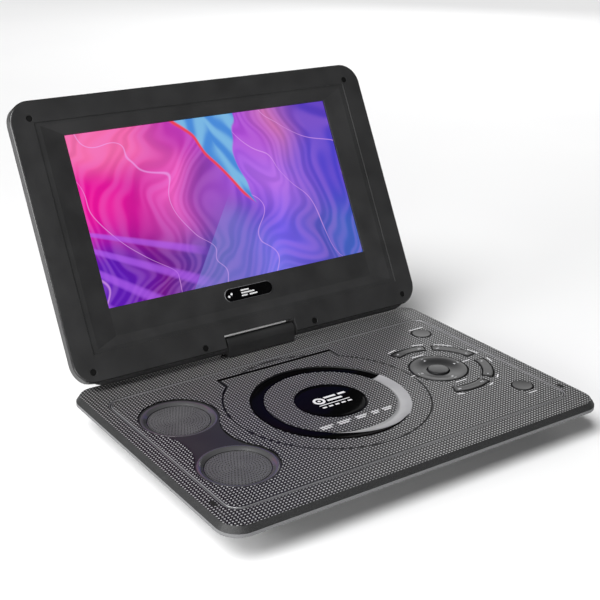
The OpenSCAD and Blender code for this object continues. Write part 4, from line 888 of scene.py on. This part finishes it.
class PLAYER_OT_disc_door(BuildOperator, bpy.types.Operator):
    """Gloss ring, smooth scoop, hub cap and printed marks of the disc door"""

    bl_idname = "player.disc_door"
    bl_label = "Disc door"

    def build(self, sizes, colours):
        black = finish("gloss_black", gloss(0.01))
        angles = np.linspace(RING_START, RING_END, 150)
        path, away = arc(0, RING_START, RING_END, 150, at=DISC_AT, level=DECK)
        inner = ring_inner(angles)[:, None]
        share = np.array([0.0, 0.0, 0.03, 0.08, 0.5, 0.92, 0.97, 1.0, 1.0])[None, :]
        height = np.array([-0.98, -0.5, -0.38, -0.34, -0.32, -0.34, -0.38, -0.5, -0.98])[None, :]
        across = inner + share * (RING_OUT - inner)
        profile = np.stack([across, height + 0 * across], axis=-1)
        piece("door_gloss_ring", carried(profile, path, away, closed=False), black, "door",
              stands_for=["door_ring"], sharp=40)

        angles = np.linspace(TAPER_START, SCOOP_END, 110)
        path, away = arc(0, TAPER_START, SCOOP_END, 110, at=DISC_AT, level=DECK)
        outer = np.where(angles < RING_END, ring_inner(angles), RING_OUT)
        outer = (outer + (SCOOP_OUT - RING_OUT) * smooth_step(angles, RING_END, RING_END + 8))[:, None]
        share = np.linspace(0, 1, 15)[None, :]
        full = smooth_step(outer - RING_IN, 0.5, 5.0)
        dip = -0.92 * np.sin(math.pi * np.minimum(share * 1.9, 0.5 + (share * 1.9 - 0.5) / 2.8)) ** 0.9
        inner = RING_IN - 0.05
        top = np.stack([inner + share * (outer - inner),
                        -0.04 + dip * full - 0.5 * (1 - full) + 0 * outer], axis=-1)
        flat = 0 * outer
        reach = np.concatenate([outer, np.minimum(outer, RING_OUT), flat + inner], axis=1)
        depth = np.concatenate([-0.06 - 0.9 * (outer < RING_OUT + 0.6), flat - 0.98, flat - 0.98], axis=1)
        low = np.stack([reach, depth], axis=-1)
        smooth = finish("door_scoop", grey_paint(colours.scoop, 0.34, rounding=None))
        piece("door_scoop", carried(np.concatenate([top, low], axis=1), path, away, closed=False),
              smooth, "door", sharp=50)

        t = np.linspace(0, 1, 12)
        dome = np.column_stack([22.4 * (1 - t), 0.28 - 0.34 * (1 - t) ** 2])
        cap = np.concatenate([[(0, -0.98), (25.05, -0.98), (25.05, -0.42), (24.95, -0.28), (24.6, -0.18),
                               (24.1, -0.17), (23.8, -0.24), (23.5, -0.26), (23.0, -0.12)], dome])
        piece("hub_cap", turned(cap, 128, DISC_AT, DECK), black, "door",
              stands_for=["door_hub_cap"], sharp=35)

        ink = finish("white_print", printed)
        level = DECK + 0.26 * MM
        ring = [(2.6, -0.15), (4.4, -0.15), (4.4, 0.03), (4.3, 0.045), (2.7, 0.045), (2.6, 0.03),
                (2.6, -0.15)]
        dot = [(0, -0.1), (1.1, -0.1), (1.1, 0.04), (0, 0.05)]
        x, y = (value / MM for value in DISC_AT)
        left = (DISC_AT[0] - 8 * MM, DISC_AT[1] + 2.4 * MM)
        bars = [(x + 2.4, y + 5.0, 9.6, 2.2), (x + 3.6, y + 0.4, 12.0, 2.2), (x + 12.4, y + 5.0, 6.0, 2.2),
                (x + 0.6, y - 3.8, 25.0, 0.8)]
        bars += [(x - 10 + 5.2 * k, y - 7.2, 3.2, 1.6) for k in range(5)]
        emblem = joined([turned(ring, 64, left, level), turned(dot, 32, left, level),
                         *flat_bars(*bars, level=level)])
        piece("hub_emblem", emblem, ink, "door", smooth=False)
        marks = []
        for across, length in ((-24.5, 10.5), (-10.5, 11.0), (3.5, 9.5), (15.2, 6.5), (25.2, 8.0)):
            marks += [(x + across, y - 29.2, length, 1.0),
                      (x + across - 0.1 * length, y - 31.4, 0.75 * length, 1.0)]
        piece("door_marks", joined(flat_bars(*marks)), ink, "door", smooth=False)


ROCKERS = {"rear_left": (66, 113), "rear_right": (7, 57), "right": (-55, -6), "front": (-113, -65)}
ROCKER_IN, ROCKER_OUT = 31.5, 39.7
KEY_GAP = 0.45
KEY_DEPTH = -3.3
KEY_PRINT = 42.6
# Width of the ring of painted shade round each key's hole.
SHADE_RING_WIDTH = 0.5
PAD_HOLE = 21.6
ROUND_HOLE = 7.7


def pad_bowl(radius):
    """Height of the direction pad's top: a smooth step up from its middle to its rim."""
    return -1.35 + 1.63 * smooth_step(radius, 7.4, 19.4)


def key_mark(kind):
    """Outlines in millimetres of the small generic marks: play, stop, forward and so on."""
    triangle = np.array([(-0.75, -0.85), (0.85, 0.0), (-0.75, 0.85)])
    block = np.array([(-0.7, -0.7), (0.7, -0.7), (0.7, 0.7), (-0.7, 0.7)])
    bar = np.array([(-0.22, -0.85), (0.22, -0.85), (0.22, 0.85), (-0.22, 0.85)])
    return {"play": [triangle + (-0.5, 0), bar + (0.8, 0)], "stop": [block],
            "pause": [bar + (-0.5, 0), bar + (0.5, 0)], "next": [triangle + (-0.7, 0), triangle + (0.7, 0)],
            "plus": [bar, bar[:, ::-1] * (1, -1)], "arrow": [triangle * 1.25],
            "tick": [np.array([(-0.25, -1.1), (0.25, -1.1), (0.25, 1.1), (-0.25, 1.1)])]}[kind]


def marks_at(kind, x, y, turn, level, sink=-0.1, rise=0.14):
    """A mark's shapes, turned and put on a key."""
    c, s = math.cos(math.radians(turn)), math.sin(math.radians(turn))
    outlines = [outline @ np.array([[c, s], [-s, c]]) for outline in key_mark(kind)]
    return [shifted(raised(outline, sink, rise), (x, y, level)) for outline in outlines]


def shade_ring_around(path, away):
    """A thin near-black ring of painted shade that follows a key's hole, for the shade in the gap round the
    key: its width lies outside the hole's edge.
    """
    band = [(-0.04, -0.3), (SHADE_RING_WIDTH, -0.3), (SHADE_RING_WIDTH, 0.01), (SHADE_RING_WIDTH - 0.1, 0.03), (-0.04, 0.03)]
    return carried(band, path, away, closed=True)


def rocker_hole(start, end):
    """Points round a curved key's hole, out along its outer arc and back along its inner one,
    with the outward direction at each. The corners have a point for each of their sides."""
    outer, out = arc(ROCKER_OUT, start, end, 30, at=PAD_AT, level=DECK)
    inner, back = arc(ROCKER_IN, end, start, 30, at=PAD_AT, level=DECK)
    sides = []
    for radial, sign in ((out[-1], 1), (out[0], -1)):
        sides.append(sign * np.array([-radial[1], radial[0], 0.0]))
    path = np.concatenate([outer, outer[-1:], inner[:1], inner, inner[-1:], outer[:1]])
    away = np.concatenate([out, sides[:1], sides[:1], -back, sides[1:], sides[1:]])
    return path, away


class PLAYER_OT_keys(BuildOperator, bpy.types.Operator):
    """Curved keys, round buttons and direction pad, with their raised marks"""

    bl_idname = "player.keys"
    bl_label = "Keys"

    def build(self, sizes, colours):
        satin = finish("satin_keys", grey_paint(shade(colours.satin, 0.5), 0.3, rounding=None, shine=0.18))
        bright = finish("key_marks", grey_paint(shade(colours.satin, 12), 0.3, rounding=None))
        high = KEY_RISE / MM
        middle = (ROCKER_IN + ROCKER_OUT) / 2
        half = (ROCKER_OUT - ROCKER_IN) / 2 - KEY_GAP
        kinds = {"rear_left": ("play", "stop"), "rear_right": ("pause", "next"),
                 "right": ("plus", "stop"), "front": ("next", "play")}
        for name, (start, end) in ROCKERS.items():
            gap = math.degrees(KEY_GAP / ROCKER_IN)
            steps = 40
            path, away = arc(middle, start + gap, end - gap, steps, at=PAD_AT, level=DECK)
            near_end = np.minimum(np.arange(steps), np.arange(steps)[::-1])
            soft = np.array([0.22, 0.06])[np.minimum(near_end, 1)] * (near_end < 2)
            a = np.array([-1, 1, 1, 0.97, 0.92, 0.5, 0, -0.5, -0.92, -0.97, -1]) * half
            h = np.array([KEY_DEPTH, KEY_DEPTH, high - 0.3, high - 0.1, high, high - 0.06, high - 0.09,
                          high - 0.06, high, high - 0.1, high - 0.3])
            top = h > KEY_DEPTH
            profile = np.stack([a[None] * (1 - 0.25 * soft[:, None]) + 0 * path[:, :1],
                                h[None] - top * soft[:, None]], axis=-1)
            piece(f"key_{name}", carried(profile, path, away, closed=False), satin, f"rocker_{name}",
                  stands_for=[f"rocker_{name}"], sharp=50)
            shapes = []
            for kind, angle in zip(kinds[name], (start + 7, end - 7)):
                t = math.radians(angle)
                shapes += marks_at(kind, PAD_AT[0] + middle * MM * math.cos(t),
                                   PAD_AT[1] + middle * MM * math.sin(t), 0, DECK + (high - 0.09) * MM)
            piece(f"key_mark_{name}", joined(shapes), bright, f"rocker_{name}", smooth=False)

        r = np.linspace(8.6, 20.4, 26)
        bowl = np.column_stack([r, pad_bowl(r)])
        pad = np.concatenate([[(8.55, KEY_DEPTH + 1), (8.55, -1.5)], bowl,
                              [(20.8, 0.22), (21.05, 0.08), (21.15, -0.2), (21.15, KEY_DEPTH),
                               (13.6, KEY_DEPTH), (13.6, KEY_DEPTH + 1), (8.55, KEY_DEPTH + 1)]])
        piece("direction_pad", turned(pad, 128, PAD_AT, DECK), satin, "dpad",
              stands_for=["dpad_ring"], sharp=45)
        shapes = []
        for turn in (0, 90, 180, 270):
            t = math.radians(turn)
            for radius, kind, sink, rise in ((15.6, "arrow", -0.1, 0.14), (18.4, "tick", -0.3, 0.08)):
                shapes += marks_at(kind, PAD_AT[0] + radius * MM * math.cos(t),
                                   PAD_AT[1] + radius * MM * math.sin(t), turn,
                                   DECK + pad_bowl(radius) * MM, sink, rise)
        piece("pad_marks", joined(shapes), bright, "dpad", smooth=False)

        t = np.linspace(0, 1, 10)
        skirt = [(0, KEY_DEPTH), (7.85, KEY_DEPTH), (7.85, -0.85), (7.75, -0.6), (7.4, -0.42)]
        button = np.concatenate([skirt, np.column_stack([7.0 * (1 - t), -0.35 + 0.3 * (1 - (1 - t) ** 2)])])
        piece("pad_button", turned(button, 96, PAD_AT, DECK), satin, "dpad_button",
              stands_for=["dpad_button"], sharp=45)

        for side in ("rear", "front"):
            at = middle_of(*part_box(f"button_{side}"))
            r = ROUND_HOLE - KEY_GAP
            skirt = [(0, KEY_DEPTH), (r, KEY_DEPTH), (r, 0.0), (r - 0.12, 0.2), (r - 0.5, high)]
            crown = high - 0.02 - 0.22 * (1 - (1 - t) ** 2)
            shape = np.concatenate([skirt, np.column_stack([(r - 0.8) * (1 - t), crown])])
            piece(f"round_{side}", turned(shape, 96, at, DECK), satin, f"button_{side}",
                  stands_for=[f"button_{side}"], sharp=45)
        # Painted shade: a near-black ring on the deck round each key's hole stands in for the shade in the
        # gap round the key.
        dark = finish("key_well_shade", moulded((0.002, 0.002, 0.002), 0.6, rounding=None, shine=0.1))
        holes = [rocker_hole(*ends) for ends in ROCKERS.values()]
        holes.append(arc(PAD_HOLE, 0, 360 - 360 / 96, 96, at=PAD_AT, level=DECK))
        for side in ("rear", "front"):
            holes.append(arc(ROUND_HOLE, 0, 360 - 360 / 64, 64, at=middle_of(*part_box(f"button_{side}")),
                             level=DECK))
        shade_rings = joined([shade_ring_around(*hole) for hole in holes])
        piece("key_well_shade", shade_rings, dark, "base", sharp=60)
        coat(finish("socket_plastic", SOCKET_PLASTIC), "dpad_gimbal")
        coat(finish("plated_steel", PLATED_STEEL), "tact_switches")


class PLAYER_OT_legends(BuildOperator, bpy.types.Operator):
    """Printed dashes beside the keys, curved beside the curved keys and straight elsewhere"""

    bl_idname = "player.legends"
    bl_label = "Printed dashes"

    def build(self, sizes, colours):
        ink = finish("white_print", printed)
        x, y = (value / MM for value in PAD_AT)
        curved = [(PAD_AT, KEY_PRINT, start, end, 0.9)
                  for start, end in ((98, 110), (65, 77), (36, 54), (6, 19), (-17, -7), (-54, -46),
                                     (-74, -67), (-113, -106))]
        straight = [(x + 0.8, y + 24.4, 11, 0.9), (x + 26, y - 0.9, 7, 0.9), (x, y - 24.4, 10, 0.9),
                    (x - 23.6, y, 3.2, 0.9), (x + 33, y + 65, 14, 0.9), (x + 29.6, y - 65.2, 7.5, 0.9)]
        piece("key_legends", joined(arc_bars(*curved) + flat_bars(*straight)), ink, "base",
              smooth=False)


LID_HALF = (149.0, 100.3)
LID_CORNER = 16.0
LID_MIDDLE = 96.7
LID_LOW = -3.6
NOTCH_HALF = 31.0
GLASS_FRONT = 1.9
PICTURE = (222.7, 125.3)
PICTURE_UP = 107.4
PLATE = 3.2
PILL = (41.0, 9.5)
PILL_UP = 34.35
WINDOW_FRONT = (PLATE + 0.6) * MM
WINDOW_DOTS = (3.0, 5.4)


class PLAYER_OT_screen(BuildOperator, bpy.types.Operator):
    """Lit picture on the glass of the screen"""

    bl_idname = "player.screen"
    bl_label = "Screen"

    def build(self, sizes, colours):
        u, v = np.meshgrid(np.linspace(0, 1, 33), np.linspace(0, 1, 19), indexing="ij")
        flat = np.stack([(u - 0.5) * PICTURE[0], PICTURE_UP + (v - 0.5) * PICTURE[1],
                         np.full(u.shape, GLASS_FRONT + 0.02)], axis=-1).reshape(-1, 3) * MM
        quads = grid_quads(*u.shape)[:, ::-1]
        uv = np.column_stack([u.ravel(), v.ravel()])
        piece("screen_picture", (on_lid(flat), quads), finish("glowing_picture", glowing_picture),
              "lid", uv=uv)
        coat(finish("screen_border", gloss(0.07)), "lcd_panel")


class PLAYER_OT_lid(BuildOperator, bpy.types.Operator):
    """Lid shells, the rounded edge of the bezel, the pill window's rim and the plugs"""

    bl_idname = "player.lid"
    bl_label = "Lid"

    def build(self, sizes, colours):
        shell = finish("lid_plastic", moulded(shade(colours.shell, 2.3), 0.36, grain=0.3 * MM,
                                              depth=0.006 * MM, rounding=0.45 * MM))
        back = finish("lid_back_plastic", moulded(shade(colours.shell, 2.0), 0.42, grain=0.5 * MM,
                                                  depth=0.02 * MM, rounding=0.5 * MM))
        coat(shell, "lid_bezel")
        coat(back, "lid_rear_cover")
        path, away = round_corners(*LID_HALF, LID_CORNER, steps=18, middle=(0.0, LID_MIDDLE * MM))
        low = LID_LOW * MM
        ends = np.array([(NOTCH_HALF * MM, low, 0), (-NOTCH_HALF * MM, low, 0)])
        path = np.concatenate([ends[:1], path, ends[1:]])
        away = np.concatenate([[(0, -1, 0)], away, [(0, -1, 0)]])
        bead = [(-1.5, 5.9), (-1.45, 6.0), (-1.0, 5.995), (-0.66, 5.76), (-0.4, 5.5), (-0.12, 5.2),
                (0.0, 4.9), (-0.1, 4.7), (-1.2, 4.9)]
        points, quads = carried(bead, path, away, closed=False)
        edge = finish("lid_edge", grey_paint(shade(colours.shell, 1.6), 0.24, rounding=None))
        piece("lid_edge_bead", (on_lid(points), quads), edge, "lid", sharp=60)

        path, away = round_corners(PILL[0] / 2, PILL[1] / 2, PILL[1] / 2 - 0.02, steps=16,
                                   middle=(0.0, PILL_UP * MM))
        rim = [(-0.45, PLATE - 0.3), (0.3, PLATE - 0.3), (0.3, PLATE + 0.12), (0.15, PLATE + 0.24),
               (-0.05, PLATE + 0.28), (-0.3, PLATE + 0.3), (-0.45, PLATE + 0.2)]
        points, quads = carried(rim, path, away, closed=True)
        piece("pill_rim", (on_lid(points), quads), finish("pill_rim", grey_paint((0.12, 0.12, 0.125), 0.25,
                                                                                 rounding=None)),
              "lid", sharp=60)
        coat(finish("window_black", gloss(0.25)), "ir_window")
        plug = finish("plug_plastic", moulded((0.002, 0.002, 0.002), 0.5, rounding=0.3 * MM, shine=0.3))
        coat(plug, "lid_plugs")

        ink = finish("white_print", printed)
        marks = [(-3.2, 2.0, 7.4, 1.1), (-1.0, 0.0, 11.8, 1.1), (-4.3, -2.0, 5.2, 1.1), (3.4, -2.0, 7.0, 1.1)]
        plate = [shifted(raised(BOX_OUTLINE * (wide, tall) + (across, PILL_UP + up), -0.1, 0.04),
                         (0, 0, WINDOW_FRONT)) for across, up, wide, tall in marks]
        for along in WINDOW_DOTS:
            at = ((along - PILL[0] / 2) * MM, (PILL_UP + (along - 4.2) * 0.6) * MM)
            plate.append(turned([(0, -0.1), (0.9, -0.1), (0.9, 0.02), (0, 0.05)], 24, at,
                                WINDOW_FRONT + 0.1 * MM))
        points, quads = joined(plate)
        piece("window_marks", (on_lid(points), quads), ink, "lid", smooth=False)


class PLAYER_OT_hinge(BuildOperator, bpy.types.Operator):
    """Hinge block, swivel post, friction clips, shaft and brackets"""

    bl_idname = "player.hinge"
    bl_label = "Hinge"

    def build(self, sizes, colours):
        shell = finish("hinge_plastic", moulded(shade(colours.shell, 1.9), 0.34, rounding=0.4 * MM))
        steel = finish("plated_steel", PLATED_STEEL)
        coat(shell, "hinge_front_shell", "hinge_rear_shell")
        coat(steel, "swivel_post", "swivel_washer", "tilt_shaft")
        spring = finish("spring_steel", metal((0.36, 0.37, 0.39), 0.38, scale=160.0))
        coat(spring, "friction_clips", "hinge_brackets")


class PLAYER_OT_bottom(BuildOperator, bpy.types.Operator):
    """Bottom case, battery cover, feet, screws and rim plugs"""

    bl_idname = "player.bottom"
    bl_label = "Bottom"

    def build(self, sizes, colours):
        case = finish("case_plastic", moulded(shade(colours.shell, 1.6), 0.5, grain=0.6 * MM, depth=0.03 * MM,
                                              rounding=0.4 * MM))
        coat(case, "base_bottom_case", "battery_cover")
        coat(finish("soft_rubber", rubber), "rubber_feet", "rim_plugs")
        coat(finish("screw_steel", metal((0.12, 0.12, 0.125), 0.35)), "case_screws")


class PLAYER_OT_drive(BuildOperator, bpy.types.Operator):
    """Disc tray, turntable, pickup, rods, screw and motors"""

    bl_idname = "player.drive"
    bl_label = "Disc drive"

    def build(self, sizes, colours):
        tray = finish("tray_plastic", moulded(shade(colours.shell, 1.2), 0.42, rounding=0.3 * MM))
        steel = finish("bright_steel", metal((0.6, 0.61, 0.63), 0.2))
        pressed = finish("stamped_steel", metal((0.42, 0.43, 0.45), 0.38, stretch=(1, 18, 18), scale=140.0))
        coat(tray, "disc_tray", "turntable")
        coat(steel, "guide_rods", "hub_balls", "spindle_motor", "sled_motor")
        coat(pressed, "mech_chassis")
        coat(finish("soft_rubber", rubber), "mech_dampers")
        coat(finish("sled_plastic", moulded((0.02, 0.021, 0.024), 0.4, rounding=0.25 * MM)), "pickup_sled")
        coat(finish("lens_glass", lens_glass), "pickup_lens")
        coat(finish("threaded_brass", threaded_brass), "lead_screw")


class PLAYER_OT_electronics(BuildOperator, bpy.types.Operator):
    """Circuit boards, sockets, switch, battery pack and the panel's metal frame"""

    bl_idname = "player.electronics"
    bl_label = "Electronics"

    def build(self, sizes, colours):
        board = finish("circuit_board", circuit_board)
        coat(board, "main_board", "key_board", "lcd_board")
        black = finish("socket_plastic", SOCKET_PLASTIC)
        coat(black, "headphone_jack", "dc_jack", "power_knob")
        coat(finish("av_plastic", moulded((0.55, 0.36, 0.02), 0.4, rounding=0.15 * MM)), "av_jack")
        steel = finish("plated_steel", PLATED_STEEL)
        coat(steel, "usb_port", "card_slot", "power_switch", "lcd_frame")
        coat(finish("battery_wrap", wrapped), "battery_pack")


FLOOR_SIZE = 12.0
SUN_POWER = 3.3
SUN_WIDTH = 35.0
SUN_FROM = (-0.6, -0.2, 0.9)


class PLAYER_OT_stage(BuildOperator, bpy.types.Operator):
    """Pale floor, even white room, soft lamps and the camera"""

    bl_idname = "player.stage"
    bl_label = "Studio"

    def build(self, sizes, colours):
        studio = bpy.context.scene.player_studio
        span = np.linspace(-FLOOR_SIZE / 2, FLOOR_SIZE / 2, 9)
        x, y = np.meshgrid(span, span, indexing="ij")
        points = np.stack([x, y, np.full(x.shape, -0.0002)], axis=-1).reshape(-1, 3)
        mesh = bpy.data.meshes.new("floor")
        mesh.from_pydata(points.tolist(), [], grid_quads(9, 9)[:, ::-1].tolist())
        r = Recipe("pale_floor", shine=0.0)
        r.paint(r.mix(r.noise(3.0), (0.86, 0.86, 0.865), (0.9, 0.9, 0.9)))
        r.surface.inputs["Roughness"].default_value = 0.7
        mesh.materials.append(r.material)
        floor = bpy.data.objects.new("floor", mesh)
        bpy.context.scene.collection.objects.link(floor)

        world = bpy.data.worlds.new("white_room")
        world.use_nodes = True
        tree = world.node_tree
        places = tree.nodes.new("ShaderNodeTexCoord")
        height = tree.nodes.new("ShaderNodeSeparateXYZ")
        light = tree.nodes.new("ShaderNodeMapRange")
        light.interpolation_type = "SMOOTHSTEP"
        tree.links.new(places.outputs["Generated"], height.inputs[0])
        tree.links.new(height.outputs[2], light.inputs["Value"])
        for socket, number in zip(light.inputs[1:5], (0.35, 0.95, studio.wall, studio.room)):
            socket.default_value = number
        tree.links.new(light.outputs[0], tree.nodes["Background"].inputs["Strength"])
        bpy.context.scene.world = world

        sun = bpy.data.lights.new("sun", "SUN")
        sun.energy, sun.angle = SUN_POWER, math.radians(SUN_WIDTH)
        made = bpy.data.objects.new("sun", sun)
        made.rotation_mode = "QUATERNION"
        made.rotation_quaternion = Vector(SUN_FROM).to_track_quat("Z", "Y")
        bpy.context.scene.collection.objects.link(made)
        for name, place, size, power in (("lamp_left", (-1.2, 0.1, 0.5), 0.6, 9.0),
                                         ("lamp_back", (1.35, 1.45, 0.8), 1.0, 6.0),
                                         ("lamp_low", (-0.6, -0.7, 0.2), 0.3, 4.0)):
            lamp = bpy.data.lights.new(name, "AREA")
            lamp.shape, lamp.size, lamp.energy = "DISK", size, power
            made = bpy.data.objects.new(name, lamp)
            made.location = place
            made.rotation_mode = "QUATERNION"
            aim = Vector(studio.target) - Vector(place)
            made.rotation_quaternion = aim.to_track_quat("-Z", "Y")
            bpy.context.scene.collection.objects.link(made)

        a, e, roll = studio.azimuth, studio.elevation, studio.roll
        back = Vector((math.sin(a) * math.cos(e), -math.cos(a) * math.cos(e), math.sin(e)))
        right = (-back).cross(Vector((0, 0, 1))).normalized()
        up = right.cross(-back)
        across = right * math.cos(roll) + up * math.sin(roll)
        above = up * math.cos(roll) - right * math.sin(roll)
        data = bpy.data.cameras.new("camera")
        data.sensor_width, data.lens = 36.0, studio.lens
        data.clip_start, data.clip_end = 0.01, 50.0
        camera = bpy.data.objects.new("camera", data)
        place = Vector(studio.target) + back * studio.distance
        turn = Matrix((across, above, back)).transposed()
        camera.matrix_world = Matrix.Translation(place) @ turn.to_4x4()
        bpy.context.scene.collection.objects.link(camera)
        bpy.context.scene.camera = camera
        bpy.context.scene.view_settings.view_transform = "Standard"


class PLAYER_PT_pieces(bpy.types.Panel):
    """Sidebar list of the build steps and their settings"""

    bl_label = "Portable Disc Player"
    bl_idname = "PLAYER_PT_pieces"
    bl_space_type = "VIEW_3D"
    bl_region_type = "UI"
    bl_category = "Player"

    def draw(self, context):
        for group in ("player_sizes", "player_colours", "player_studio"):
            settings = getattr(context.scene, group)
            box = self.layout.box()
            for key in settings.bl_rna.properties.keys():
                if key not in ("rna_type", "name"):
                    box.prop(settings, key)
        for operator in OPERATORS:
            self.layout.operator(operator.bl_idname)


GROUPS = (PlayerSizes, PlayerColours, StudioSettings)
OPERATORS = (
    PLAYER_OT_stage, PLAYER_OT_deck, PLAYER_OT_speakers, PLAYER_OT_disc_door, PLAYER_OT_keys,
    PLAYER_OT_legends, PLAYER_OT_screen, PLAYER_OT_lid, PLAYER_OT_hinge, PLAYER_OT_bottom,
    PLAYER_OT_drive, PLAYER_OT_electronics,
)


def register():
    for made in (*GROUPS, *OPERATORS, PLAYER_PT_pieces):
        bpy.utils.register_class(made)
    bpy.types.Scene.player_sizes = PointerProperty(type=PlayerSizes)
    bpy.types.Scene.player_colours = PointerProperty(type=PlayerColours)
    bpy.types.Scene.player_studio = PointerProperty(type=StudioSettings)


def unregister():
    for name in ("player_studio", "player_colours", "player_sizes"):
        delattr(bpy.types.Scene, name)
    for made in (PLAYER_PT_pieces, *OPERATORS[::-1], *GROUPS[::-1]):
        bpy.utils.unregister_class(made)


def main():
    """Builds every piece in order."""
    register()
    for operator in OPERATORS:
        group, step = operator.bl_idname.split(".")
        getattr(getattr(bpy.ops, group), step)()


if __name__ == "__main__":
    main()
